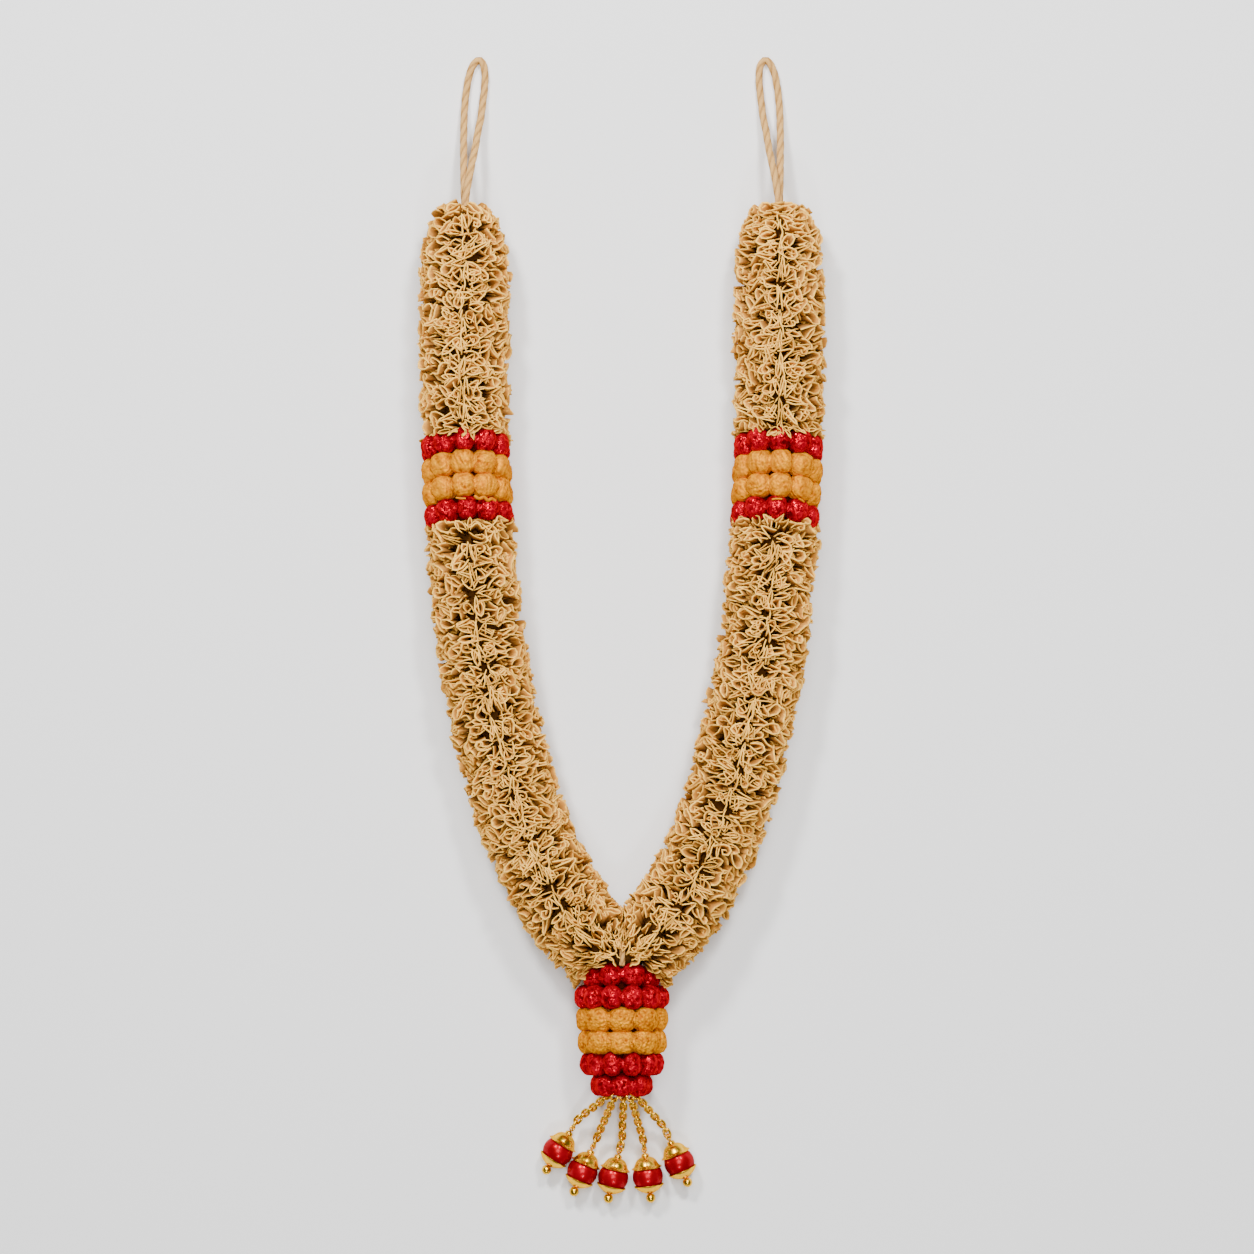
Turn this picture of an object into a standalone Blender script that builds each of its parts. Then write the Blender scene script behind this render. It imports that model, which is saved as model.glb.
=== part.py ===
"""Vetiver garland, laid out flat.

Two ropes of curled vetiver strips hang side by side and meet in a pendant of
wound balls, from which five chains with red drops fan out. Each rope carries a
band of four rings of balls and ends in a cord loop. The garland lies on the
surface z = 0 with its front up (+Z) and its loops towards +Y.
"""
import math
import random

import bmesh
import bpy
from mathutils import Vector

TURN = 2 * math.pi
SEAT_GAP = 0.0003

# The ropes: the axis of the right one from its top down, mirrored for the left
ROPE_HEIGHT = 0.0287
PENDANT_HEIGHT = 0.0314
ARM_ROUTE = [
    (0.1047, 0.3325, ROPE_HEIGHT), (0.1050, 0.2700, ROPE_HEIGHT), (0.1043, 0.1770, ROPE_HEIGHT),
    (0.1000, 0.0970, ROPE_HEIGHT), (0.0925, 0.0300, ROPE_HEIGHT), (0.0813, -0.0230, ROPE_HEIGHT),
    (0.0663, -0.0763, ROPE_HEIGHT), (0.0407, -0.1297, 0.0294), (0.0110, -0.1657, 0.0309),
    (0.0040, -0.1765, 0.0313), (0.0028, -0.1860, PENDANT_HEIGHT), (0.0028, -0.2190, PENDANT_HEIGHT),
    (0.0028, -0.2518, PENDANT_HEIGHT),
]
ARM_RUFFLED_POINTS = 9
UPPER_BORE_DEPTH = 0.0156

# The ruffles round each rope: the strips' curled edges meet in a net of rims
# round deep pits, three spots to a cell
RUFFLE_RADIUS = 0.0306
RUFFLE_ROOT = 0.0185
RUFFLE_ROW = 0.0077
RUFFLE_AROUND = 24
RUFFLE_BORE_SIDES = 6
RUFFLE_END_RADIUS = 0.0262
RUFFLE_TOP_RADIUS = 0.0100
RUFFLE_LIFT = 0.0003
RIM_UNEVEN = 0.0036
RIM_SWING = 0.0016
PARTING_DEPTH = 0.0030
TOP_ROUNDING = 0.52
TOP_ROUNDING_LENGTH = 0.0100
LOWER_RUFFLES = 3
JUNCTION_ROOM = 0.2

# The bands of balls on the ropes
BAND_START = 0.1540
BALL_RING_PITCH = 0.0152
BAND_RINGS = ["red", "yellow", "yellow", "red"]
BAND_OUTER = 0.0290
BAND_BALLS = 10
BAND_BALL = 0.0074
BAND_CORE = 0.0151
BAND_LEAN = 0.287
LEAN_FADE = 0.080
YELLOW_TURN = math.radians(4)

# The pendant: its rings from the top as colour, place along Y, outer radius,
# ball radius and number of balls, then its core's outline and bore along Y
PENDANT_RINGS = [
    ("red", -0.1800, 0.0252, 0.0067, 8),
    ("red", -0.1942, 0.0317, 0.0071, 11),
    ("yellow", -0.2089, 0.0307, 0.0071, 9),
    ("yellow", -0.2236, 0.0299, 0.0071, 8),
    ("red", -0.2383, 0.0279, 0.0071, 10),
    ("red", -0.2526, 0.0211, 0.0068, 7),
]
PENDANT_LEAN = 0.077
PENDANT_SADDLE = 0.0030
PENDANT_CORE_TOP = -0.1740
PENDANT_CORE_BOTTOM = -0.2515
PENDANT_CORE = [
    (PENDANT_CORE_TOP, 0.0124), (-0.1880, 0.0125), (-0.1907, 0.0183), (-0.1955, 0.0183),
    (-0.2089, 0.0172), (-0.2236, 0.0164), (-0.2383, 0.0145), (-0.2425, 0.0145),
    (-0.2490, 0.0083), (PENDANT_CORE_BOTTOM, 0.0083),
]
PENDANT_BORE = [
    (PENDANT_CORE_TOP, 0.0104), (-0.1800, 0.0094), (-0.1940, 0.0068), (PENDANT_CORE_BOTTOM, 0.0066),
]
CORE_SIDES = 12
BALL_CORNERS = 5
FACE_SHARE = 0.42
NECK_SHARE = 0.52

# Cords and the knot that ends them
CORD_RADIUS = 0.0025
CORD_BORE = 0.0032
TAIL_BORE = 0.0062
JUNCTION_BORE = 0.0056
BORE_STEP = 0.020
STRING_STEP = 0.019
LOOP_STEP = 0.008
KNOT_RADIUS = 0.0080
KNOT_TOP = -0.2523
KNOT_BOTTOM = -0.2565
LOOP_ROUTE = [
    (0.1046, 0.3180, 0.02595), (0.1047, 0.3260, 0.02595), (0.1050, 0.3339, 0.02570),
    (0.1054, 0.3441, 0.02450), (0.1058, 0.3578, 0.02050), (0.1061, 0.3719, 0.01450),
    (0.1062, 0.3859, 0.00860), (0.1059, 0.3998, 0.00440), (0.1046, 0.4135, 0.00270),
    (0.1023, 0.4249, 0.00260), (0.0992, 0.4316, 0.00260), (0.0962, 0.4337, 0.00260),
    (0.0935, 0.4310, 0.00260), (0.0922, 0.4236, 0.00260), (0.0926, 0.4135, 0.00285),
    (0.0934, 0.4066, 0.00360), (0.0950, 0.3927, 0.00820), (0.0964, 0.3856, 0.01150),
    (0.0984, 0.3713, 0.01950), (0.1010, 0.3573, 0.02650), (0.1033, 0.3435, 0.03060),
    (0.1045, 0.3339, 0.03140), (0.1047, 0.3260, 0.03145), (0.1046, 0.3180, 0.03145),
]

# The drops: where each chain starts, shows and ends, and the drop's turn from
# straight down, positive towards +X
DROP_HEIGHT = 0.01005
CHAIN_TOP_Y = KNOT_BOTTOM - SEAT_GAP
CHAIN_STAGGER = 0.0027
CHAIN_DIP = 0.0018
CHAIN_LANDING = 0.0008
DROPS = [
    {"start": -0.0068, "way": (-0.0123, -0.2625), "apex": (-0.0348, -0.2863), "turn": -32},
    {"start": -0.0036, "way": (-0.0064, -0.2640), "apex": (-0.0205, -0.2987), "turn": -23},
    {"start": 0.0004, "way": (0.0010, -0.2640), "apex": (-0.0024, -0.3017), "turn": -13},
    {"start": 0.0040, "way": (0.0066, -0.2640), "apex": (0.0153, -0.3009), "turn": 7.5},
    {"start": 0.0064, "way": (0.0126, -0.2638), "apex": (0.0322, -0.2925), "turn": 23},
]
LINK_LENGTH = 0.0080
LINK_WIDTH = 0.0050
LINK_WIRE = 0.00075
LINK_PITCH = 0.00545
LAST_LINK_END = 0.0019
EYE_PLACE = 0.0028
EYE_RADIUS = 0.0019
EYE_WIRE = 0.0006
PIN_WIRE = 0.0007
PIN_BORE = 0.0011
PIN_BALL = 0.0030
PIN_BALL_PLACE = 0.0300
PIN_BALL_ANGLES = [45, 78, 112, 148]
PIN_SIDES = 6
BEAD_RADIUS = 0.0100
BEAD_PLACE = 0.0156
BEAD_ANGLES = [30, 62, 90, 118, 150]
CAP_SIDES = 8
TOP_CAP = [
    (0.0000, 0.0018), (0.0020, 0.0034), (0.0068, 0.0077), (0.0096, 0.0094), (0.0096, 0.0087),
    (0.0075, 0.0068), (0.0052, PIN_BORE), (0.0000, PIN_BORE),
]
BOTTOM_CAP = [
    (0.0267, PIN_BORE), (0.0260, PIN_BORE), (0.0237, 0.0068), (0.0216, 0.0087), (0.0216, 0.0094),
    (0.0243, 0.0078), (0.0267, 0.0024),
]

MATERIALS = {
    "vetiver": ((0.72, 0.48, 0.24), 0.85, 0.0),
    "core": ((0.55, 0.38, 0.20), 0.90, 0.0),
    "cord": ((0.68, 0.46, 0.26), 0.90, 0.0),
    "red": ((0.55, 0.00, 0.02), 0.30, 0.0),
    "yellow": ((0.93, 0.47, 0.01), 0.55, 0.0),
    "gold": ((0.86, 0.52, 0.12), 0.25, 1.0),
    "bead": ((0.45, 0.00, 0.02), 0.20, 0.0),
}


def clear_scene():
    for thing in list(bpy.data.objects):
        bpy.data.objects.remove(thing, do_unlink=True)


def finish_material(name):
    """The named finish, made once and shared by what wears it."""
    found = bpy.data.materials.get(name)
    if found:
        return found
    colour, roughness, metallic = MATERIALS[name]
    material = bpy.data.materials.new(name)
    material.use_nodes = True
    shader = material.node_tree.nodes["Principled BSDF"]
    shader.inputs["Base Color"].default_value = (*colour, 1.0)
    shader.inputs["Roughness"].default_value = roughness
    shader.inputs["Metallic"].default_value = metallic
    return material


def add_mesh(name, bm, finish):
    """Put the finished bmesh into the scene as one object with its faces out."""
    bmesh.ops.triangulate(bm, faces=bm.faces)
    bmesh.ops.recalc_face_normals(bm, faces=bm.faces)
    mesh = bpy.data.meshes.new(name)
    bm.to_mesh(mesh)
    bm.free()
    mesh.materials.append(finish_material(finish))
    thing = bpy.data.objects.new(name, mesh)
    bpy.context.scene.collection.objects.link(thing)
    return thing


class Route:
    """A smooth curve through points, read by the length along it."""

    STEPS = 24
    NEAR = 0.002

    def __init__(self, points):
        knots = [Vector(point) for point in points]
        ends = [2 * knots[0] - knots[1]] + knots + [2 * knots[-1] - knots[-2]]
        self.points = [knots[0]]
        for before, first, last, after in zip(ends, ends[1:], ends[2:], ends[3:]):
            for step in range(1, self.STEPS + 1):
                self.points.append(self.between(before, first, last, after, step / self.STEPS))
        self.lengths = [0.0]
        for one, two in zip(self.points, self.points[1:]):
            self.lengths.append(self.lengths[-1] + (two - one).length)
        self.length = self.lengths[-1]

    @staticmethod
    def between(before, first, last, after, share):
        """Centripetal Catmull-Rom point between first and last."""
        times = [0.0]
        for one, two in ((before, first), (first, last), (last, after)):
            times.append(times[-1] + math.sqrt((two - one).length))
        at = times[1] + share * (times[2] - times[1])

        def mix(one, two, start, end):
            return one.lerp(two, (at - start) / (end - start))

        low = mix(before, first, times[0], times[1])
        mid = mix(first, last, times[1], times[2])
        high = mix(last, after, times[2], times[3])
        return mix(mix(low, mid, times[0], times[2]), mix(mid, high, times[1], times[3]), times[1], times[2])

    def point(self, place):
        """The point at a length from the start, carried on straight past the ends."""
        index = 0
        while index < len(self.lengths) - 2 and self.lengths[index + 1] < place:
            index += 1
        span = self.lengths[index + 1] - self.lengths[index]
        return self.points[index].lerp(self.points[index + 1], (place - self.lengths[index]) / span)

    def section(self, place):
        """Centre, way ahead, way across and way to the front of the section at a length."""
        ahead = (self.point(place + self.NEAR) - self.point(place - self.NEAR)).normalized()
        front = (Vector((0, 0, 1)) - ahead * ahead.z).normalized()
        return self.point(place), ahead, front.cross(ahead), front

    def samples(self, start, end, step):
        count = max(2, round((end - start) / step))
        return [self.point(start + (end - start) * index / count) for index in range(count + 1)]


def mirrored(points, side):
    return [(side * x, y, z) for x, y, z in points]


def lean_at(place):
    """How far the sections lean: their front sits nearer the loops, most at the band."""
    middle = BAND_START + BALL_RING_PITCH * len(BAND_RINGS) / 2
    past = max(0.0, abs(place - middle) - BALL_RING_PITCH * len(BAND_RINGS) / 2)
    share = min(1.0, past / LEAN_FADE)
    return BAND_LEAN * (1 - share * share * (3 - 2 * share))


def section_row(bm, section, spots, lean, lowest, stagger=0.0):
    """A ring of vertices, one for each spot (radius, shift ahead), the first at the front."""
    centre, ahead, across, front = section
    row = []
    for index, (radius, shift) in enumerate(spots):
        turn = TURN * (index + stagger) / len(spots)
        up = radius * math.cos(turn)
        spot = centre + across * (radius * math.sin(turn)) + front * up + ahead * (shift - lean * up)
        spot.z = max(spot.z, lowest)
        row.append(bm.verts.new(spot))
    return row


def skin(bm, rows):
    """Quads between rings of the same size, split alike."""
    for low, high in zip(rows, rows[1:]):
        size = len(low)
        for index in range(size):
            after = (index + 1) % size
            bm.faces.new((low[index], low[after], high[after]))
            bm.faces.new((low[index], high[after], high[index]))


def bridge_end(bm, outer, inner):
    """The end face between an outer ring and a bore with a half, a third or so of its vertices."""
    share = len(outer) // len(inner)
    half = (share + 1) // 2
    for index, corner in enumerate(inner):
        after = inner[(index + 1) % len(inner)]
        for step in range(share):
            one = outer[share * index + step]
            two = outer[(share * index + step + 1) % len(outer)]
            bm.faces.new((corner if step < half else after, one, two))
        bm.faces.new((corner, outer[(share * index + half) % len(outer)], after))


def sleeve(name, outer_rows, bore_rows, bm, finish):
    """A body round a bore: two nested skins joined at both ends."""
    skin(bm, outer_rows)
    skin(bm, bore_rows)
    bridge_end(bm, outer_rows[0], bore_rows[0])
    bridge_end(bm, outer_rows[-1], bore_rows[-1])
    return add_mesh(name, bm, finish)


def bore_rows(bm, route, start, end, size, bore=CORD_BORE):
    """Rings of the string's bore, wider where the loop's two tails enter the rope."""
    places = []
    if start < UPPER_BORE_DEPTH:
        places += [(start, TAIL_BORE), (UPPER_BORE_DEPTH, TAIL_BORE)]
        start = UPPER_BORE_DEPTH + SEAT_GAP
    count = max(1, round((end - start) / BORE_STEP))
    places += [(start + (end - start) * index / count, bore) for index in range(count + 1)]
    rows = []
    for place, radius in places:
        spots = [(radius, 0.0)] * size
        rows.append(section_row(bm, route.section(place), spots, lean_at(place), 0.0))
    return rows


def ruffle(name, route, string, start, end, top_radius, bore, seed):
    """A stretch of rope: curled edges round deep pits, all over a core bored for its string."""
    rng = random.Random(seed)
    bm = bmesh.new()
    count = round((end - start) / RUFFLE_ROW)
    rows = []
    for number in range(count + 1):
        place = start + (end - start) * number / count
        rounding = 1 - TOP_ROUNDING * math.exp(-place / TOP_ROUNDING_LENGTH)
        is_end = number in (0, count)
        stagger = 0.0 if is_end else 0.5 * (number % 2)
        spots = []
        for index in range(RUFFLE_AROUND):
            if is_end:
                spots.append((top_radius if number == 0 else RUFFLE_END_RADIUS, 0.0))
            elif (index - number // 2 - number) % 3 == 0:
                spots.append((RUFFLE_ROOT * rounding, 0.0))
            else:
                radius = RUFFLE_RADIUS - rng.uniform(0, RIM_UNEVEN)
                radius -= PARTING_DEPTH if index + stagger in (0, RUFFLE_AROUND) else 0.0
                spots.append((radius * rounding, RIM_SWING * rng.uniform(-1, 1)))
        rows.append(section_row(bm, route.section(place), spots, lean_at(place), RUFFLE_LIFT, stagger))
    bores = bore_rows(bm, string, start, end, RUFFLE_BORE_SIDES, bore)
    return sleeve(name, rows, bores, bm, "vetiver")


def ball_ring(name, section, outer, ball, count, first, lean, saddle, finish):
    """Balls fused side by side into a ring, flat where it touches the surface."""
    centre, ahead, across, front = section
    bm = bmesh.new()
    middle = outer - ball * math.cos(math.pi / BALL_CORNERS)
    spacing = TURN / count
    face = FACE_SHARE * spacing / 2
    rows = []
    for index in range(count):
        at = first + index * spacing
        for turn, size in ((at - face, ball), (at + face, ball), (at + spacing / 2, NECK_SHARE * ball)):
            out = across * math.sin(turn) + front * math.cos(turn)
            row = []
            for corner in range(BALL_CORNERS):
                angle = TURN * (corner + 0.5) / BALL_CORNERS
                reach = middle + size * math.cos(angle)
                lift = size * math.sin(angle) - lean * reach * math.cos(turn) - saddle * math.cos(2 * turn)
                spot = centre + out * reach + ahead * lift
                spot.z = 0.0 if spot.z < 2 * SEAT_GAP else spot.z
                row.append(bm.verts.new(spot))
            rows.append(row)
    skin(bm, rows + rows[:1])
    return add_mesh(name, bm, finish)


def band(side, prefix, route):
    """Four rings of balls round a plain core, between the two ruffles of a rope."""
    length = BALL_RING_PITCH * len(BAND_RINGS)
    bm = bmesh.new()
    rows = []
    for place in (BAND_START + SEAT_GAP, BAND_START + length - SEAT_GAP):
        spots = [(BAND_CORE, 0.0)] * CORE_SIDES
        rows.append(section_row(bm, route.section(place), spots, BAND_LEAN, 0.0))
    bores = bore_rows(bm, route, BAND_START + SEAT_GAP, BAND_START + length - SEAT_GAP, RUFFLE_BORE_SIDES)
    sleeve(prefix + "_band_core", rows, bores, bm, "core")
    for index, colour in enumerate(BAND_RINGS):
        section = route.section(BAND_START + BALL_RING_PITCH * (index + 0.5))
        first = side * YELLOW_TURN if colour == "yellow" else 0.0
        ball_ring(f"{prefix}_band_{index + 1}_{colour}", section, BAND_OUTER, BAND_BALL, BAND_BALLS,
                  first, BAND_LEAN, 0.0, colour)


def cut(thing, cutter):
    """Take the cutter's shape out of an object."""
    cutter.hide_render = True
    cutter.display_type = "WIRE"
    modifier = thing.modifiers.new("cut", "BOOLEAN")
    modifier.operation = "DIFFERENCE"
    modifier.solver = "EXACT"
    modifier.object = cutter


def apply_modifiers(thing):
    """Make the evaluated shape the object's own mesh."""
    shape = bpy.data.meshes.new_from_object(thing.evaluated_get(bpy.context.evaluated_depsgraph_get()))
    thing.modifiers.clear()
    thing.data = shape


def drop_scraps(thing):
    """Delete the small loose bits that a cut leaves at the frills' tips."""
    bm = bmesh.new()
    bm.from_mesh(thing.data)
    left = set(bm.verts)
    groups = []
    while left:
        group, front = set(), [left.pop()]
        while front:
            vertex = front.pop()
            group.add(vertex)
            for edge in vertex.link_edges:
                other = edge.other_vert(vertex)
                if other in left:
                    left.remove(other)
                    front.append(other)
        groups.append(group)
    groups.sort(key=len)
    for group in groups[:-1]:
        bmesh.ops.delete(bm, geom=list(group), context="VERTS")
    bm.to_mesh(thing.data)
    bm.free()


def junction_cutters(side):
    """What the end of a rope gives way to: the other rope and the pendant's first ring."""
    bm = bmesh.new()
    _, place, outer, ball, _ = PENDANT_RINGS[0]
    bmesh.ops.create_cube(bm, size=JUNCTION_ROOM)
    middle = (side * (SEAT_GAP - JUNCTION_ROOM / 2), place, PENDANT_HEIGHT)
    bmesh.ops.translate(bm, verts=bm.verts, vec=middle)
    other_half = add_mesh(f"cutter_half_{side}", bm, "core")
    top = place + PENDANT_SADDLE + ball
    bm = bmesh.new()
    rows = []
    for y in (top, top - JUNCTION_ROOM / 2):
        row = []
        for index in range(RUFFLE_AROUND):
            turn = TURN * index / RUFFLE_AROUND
            reach = outer + 2 * SEAT_GAP
            row.append(bm.verts.new((reach * math.sin(turn), y, PENDANT_HEIGHT + reach * math.cos(turn))))
        rows.append(row)
        bm.faces.new(row)
    skin(bm, rows)
    ring_room = add_mesh(f"cutter_ring_{side}", bm, "core")
    return other_half, ring_room


def cord(name, points, resolution):
    """A round cord through points, with closed ends."""
    curve = bpy.data.curves.new(name, "CURVE")
    curve.dimensions = "3D"
    curve.bevel_depth = CORD_RADIUS
    curve.bevel_resolution = resolution
    curve.use_fill_caps = True
    spline = curve.splines.new("POLY")
    spline.points.add(len(points) - 1)
    for spot, point in zip(spline.points, points):
        spot.co = (*point, 1.0)
    curve.materials.append(finish_material("cord"))
    thing = bpy.data.objects.new(name, curve)
    bpy.context.scene.collection.objects.link(thing)


def arm(side, prefix):
    """One rope from its loop's tails to the pendant."""
    route = Route(mirrored(ARM_ROUTE[:ARM_RUFFLED_POINTS], side))
    string = Route(mirrored(ARM_ROUTE, side))
    band_end = BAND_START + BALL_RING_PITCH * len(BAND_RINGS)
    seed = 40 if side < 0 else 70
    ruffle(prefix + "_ruffle_upper", route, string, 0.0, BAND_START - SEAT_GAP, RUFFLE_TOP_RADIUS,
           CORD_BORE, seed)
    band(side, prefix, route)
    span = (route.length - band_end) / LOWER_RUFFLES
    for index in range(LOWER_RUFFLES):
        start = band_end + span * index + SEAT_GAP
        is_last = index == LOWER_RUFFLES - 1
        piece = ruffle(f"{prefix}_ruffle_lower_{index + 1}", route, string, start,
                       band_end + span * (index + 1), RUFFLE_END_RADIUS,
                       JUNCTION_BORE if is_last else CORD_BORE, seed + index + 1)
        if is_last:
            cutters = junction_cutters(side)
            for cutter in cutters:
                cut(piece, cutter)
            apply_modifiers(piece)
            drop_scraps(piece)
            for cutter in cutters:
                bpy.data.objects.remove(cutter, do_unlink=True)
    cord(prefix + "_string", string.samples(UPPER_BORE_DEPTH + SEAT_GAP, string.length, STRING_STEP), 1)


def loop(side, prefix):
    """A hanging loop: out of the rope's top, round, and back in beside itself."""
    route = Route(mirrored(LOOP_ROUTE, side))
    cord(prefix + "_loop", route.samples(0.0, route.length, LOOP_STEP), 2)


def pendant():
    """Six rings of balls on a tapered core with both strings through it, and their knot."""
    def section(y):
        return Vector((0, y, PENDANT_HEIGHT)), Vector((0, -1, 0)), Vector((1, 0, 0)), Vector((0, 0, 1))

    bm = bmesh.new()
    rows, bores = [], []
    for y, radius in PENDANT_CORE:
        rows.append(section_row(bm, section(y), [(radius, 0.0)] * CORE_SIDES, PENDANT_LEAN, 0.0))
    for y, radius in PENDANT_BORE:
        bores.append(section_row(bm, section(y), [(radius, 0.0)] * RUFFLE_BORE_SIDES, PENDANT_LEAN, 0.0))
    sleeve("pendant_core", rows, bores, bm, "core")
    for index, (colour, place, outer, ball, count) in enumerate(PENDANT_RINGS):
        first = 0.0 if index in (2, 5) else math.pi / count
        saddle = PENDANT_SADDLE if index == 0 else 0.0
        ball_ring(f"pendant_{index + 1}_{colour}", section(place), outer, ball, count, first,
                  PENDANT_LEAN, saddle, colour)
    waist = (KNOT_TOP + KNOT_BOTTOM) / 2
    bm = bmesh.new()
    rows = []
    for y, radius in ((KNOT_TOP, 0.8), (waist, 1.0), (KNOT_BOTTOM, 0.9)):
        spots = [(radius * KNOT_RADIUS, 0.0)] * CORE_SIDES
        rows.append(section_row(bm, section(y), spots, PENDANT_LEAN if y == KNOT_TOP else 0.0, 0.0))
    skin(bm, rows)
    bm.faces.new(rows[0])
    bm.faces.new(rows[-1])
    add_mesh("end_knot", bm, "cord")


def add_ring(bm, centre, along, across, half_length, half_width, wire, around, sides):
    """An oval ring of wire in the plane of two directions."""
    normal = along.cross(across)
    rows = []
    for index in range(around):
        turn = TURN * index / around
        straight = max(0.0, half_length - half_width)
        out = along * math.cos(turn) + across * math.sin(turn)
        middle = centre + out * (half_width - wire)
        middle += along * (straight * (1 if math.cos(turn) > 1e-6 else -1 if math.cos(turn) < -1e-6 else 0))
        row = []
        for side in range(sides):
            angle = TURN * (0.5 + side / sides)
            spread = out * (wire * math.cos(angle)) + normal * (wire * math.sin(angle))
            row.append(bm.verts.new(middle + spread))
        rows.append(row)
    skin(bm, rows + rows[:1])


def fuse(name, pieces):
    """Join overlapping pieces into one closed body."""
    base, others = pieces[0], pieces[1:]
    base.name = name
    group = bpy.data.collections.new(name + "_parts")
    bpy.context.scene.collection.children.link(group)
    for piece in others:
        bpy.context.scene.collection.objects.unlink(piece)
        group.objects.link(piece)
    modifier = base.modifiers.new("fuse", "BOOLEAN")
    modifier.operation = "UNION"
    modifier.solver = "EXACT"
    modifier.operand_type = "COLLECTION"
    modifier.collection = group
    apply_modifiers(base)
    for piece in list(group.objects):
        bpy.data.objects.remove(piece, do_unlink=True)
    bpy.data.collections.remove(group)
    return base


def drop_direction(turn):
    angle = math.radians(turn)
    return Vector((math.sin(angle), -math.cos(angle), 0))


def chain(number, drop):
    """Oval links, each turned across the last, from the knot to the drop's eye."""
    level = PENDANT_HEIGHT + CHAIN_STAGGER * (1 if number % 2 == 0 else -1)
    down = drop_direction(drop["turn"])
    apex = Vector((*drop["apex"], DROP_HEIGHT))
    start = Vector((drop["start"], CHAIN_TOP_Y, level))
    way = Vector((*drop["way"], level - CHAIN_DIP))
    end = apex - down * LAST_LINK_END
    landing = end - down * LINK_LENGTH + Vector((0, 0, CHAIN_LANDING))
    middle = way.lerp(landing, 0.5) - Vector((0, 0, CHAIN_LANDING))
    route = Route([start, way, middle, landing, end])
    count = round((route.length - LINK_LENGTH) / LINK_PITCH) + 1
    pitch = (route.length - LINK_LENGTH) / (count - 1)
    links = []
    for index in range(count):
        place = LINK_LENGTH / 2 + pitch * index
        centre, ahead, across, front = route.section(place)
        roll = 1 if (count - 1 - index) % 2 == 0 else -1
        wide = (across + front * roll).normalized()
        bm = bmesh.new()
        add_ring(bm, centre, ahead, wide, LINK_LENGTH / 2, LINK_WIDTH / 2, LINK_WIRE, 6, 3)
        links.append(add_mesh("link", bm, "gold"))
    fuse(f"chain_{number}", links)


def turned(name, profile, apex, down, sides, finish):
    """A closed outline of (place, radius) turned round the drop's axis."""
    across = down.cross(Vector((0, 0, 1)))
    bm = bmesh.new()
    rows = []
    for place, radius in profile:
        row = []
        for index in range(sides):
            turn = TURN * (index + 0.5) / sides
            out = across * math.sin(turn) + Vector((0, 0, math.cos(turn)))
            row.append(bm.verts.new(apex + down * place + out * radius))
        rows.append(row)
    skin(bm, rows + rows[:1])
    return add_mesh(name, bm, finish)


def head_pin(number, apex, down):
    """Wire with a ball end below and an eye above, through the caps and the bead."""
    across = down.cross(Vector((0, 0, 1)))
    ball_top = PIN_BALL_PLACE - PIN_BALL
    profile = [(EYE_RADIUS - EYE_PLACE, PIN_WIRE), (ball_top, PIN_WIRE)]
    for angle in PIN_BALL_ANGLES:
        turn = math.radians(angle)
        profile.append((PIN_BALL_PLACE - PIN_BALL * math.cos(turn), PIN_BALL * math.sin(turn)))
    bm = bmesh.new()
    rows = []
    for place, radius in profile:
        row = []
        for index in range(PIN_SIDES):
            turn = TURN * index / PIN_SIDES
            out = across * math.sin(turn) + Vector((0, 0, math.cos(turn)))
            row.append(bm.verts.new(apex + down * place + out * radius))
        rows.append(row)
    skin(bm, rows)
    bm.faces.new(rows[0])
    bm.faces.new(rows[-1])
    wire = add_mesh("wire", bm, "gold")
    bm = bmesh.new()
    wide = (across + Vector((0, 0, 1))).normalized()
    size = EYE_RADIUS + EYE_WIRE
    add_ring(bm, apex - down * EYE_PLACE, down, wide, size, size, EYE_WIRE, 8, 3)
    eye = add_mesh("eye", bm, "gold")
    fuse(f"head_pin_{number}", [wire, eye])


def drops():
    """Five chains, each with a pinned bead between two caps."""
    bead = [(BEAD_PLACE - BEAD_RADIUS, PIN_BORE)]
    for angle in BEAD_ANGLES:
        turn = math.radians(angle)
        bead.append((BEAD_PLACE - BEAD_RADIUS * math.cos(turn), BEAD_RADIUS * math.sin(turn)))
    bead.append((BEAD_PLACE + BEAD_RADIUS, PIN_BORE))
    for number, drop in enumerate(DROPS, start=1):
        apex = Vector((*drop["apex"], DROP_HEIGHT))
        down = drop_direction(drop["turn"])
        chain(number, drop)
        head_pin(number, apex, down)
        turned(f"bead_{number}", bead, apex, down, CAP_SIDES, "bead")
        turned(f"top_cap_{number}", TOP_CAP, apex, down, CAP_SIDES, "gold")
        turned(f"bottom_cap_{number}", BOTTOM_CAP, apex, down, CAP_SIDES, "gold")


clear_scene()
for rope_side, rope_name in ((-1, "left"), (1, "right")):
    arm(rope_side, rope_name)
    loop(rope_side, rope_name)
pendant()
drops()
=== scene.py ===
"""Looks of the vetiver garland that lies on a pale table, seen from straight above."""
import math
import random

import bmesh
import bpy
import numpy as np
from mathutils import Matrix, Vector, noise


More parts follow.
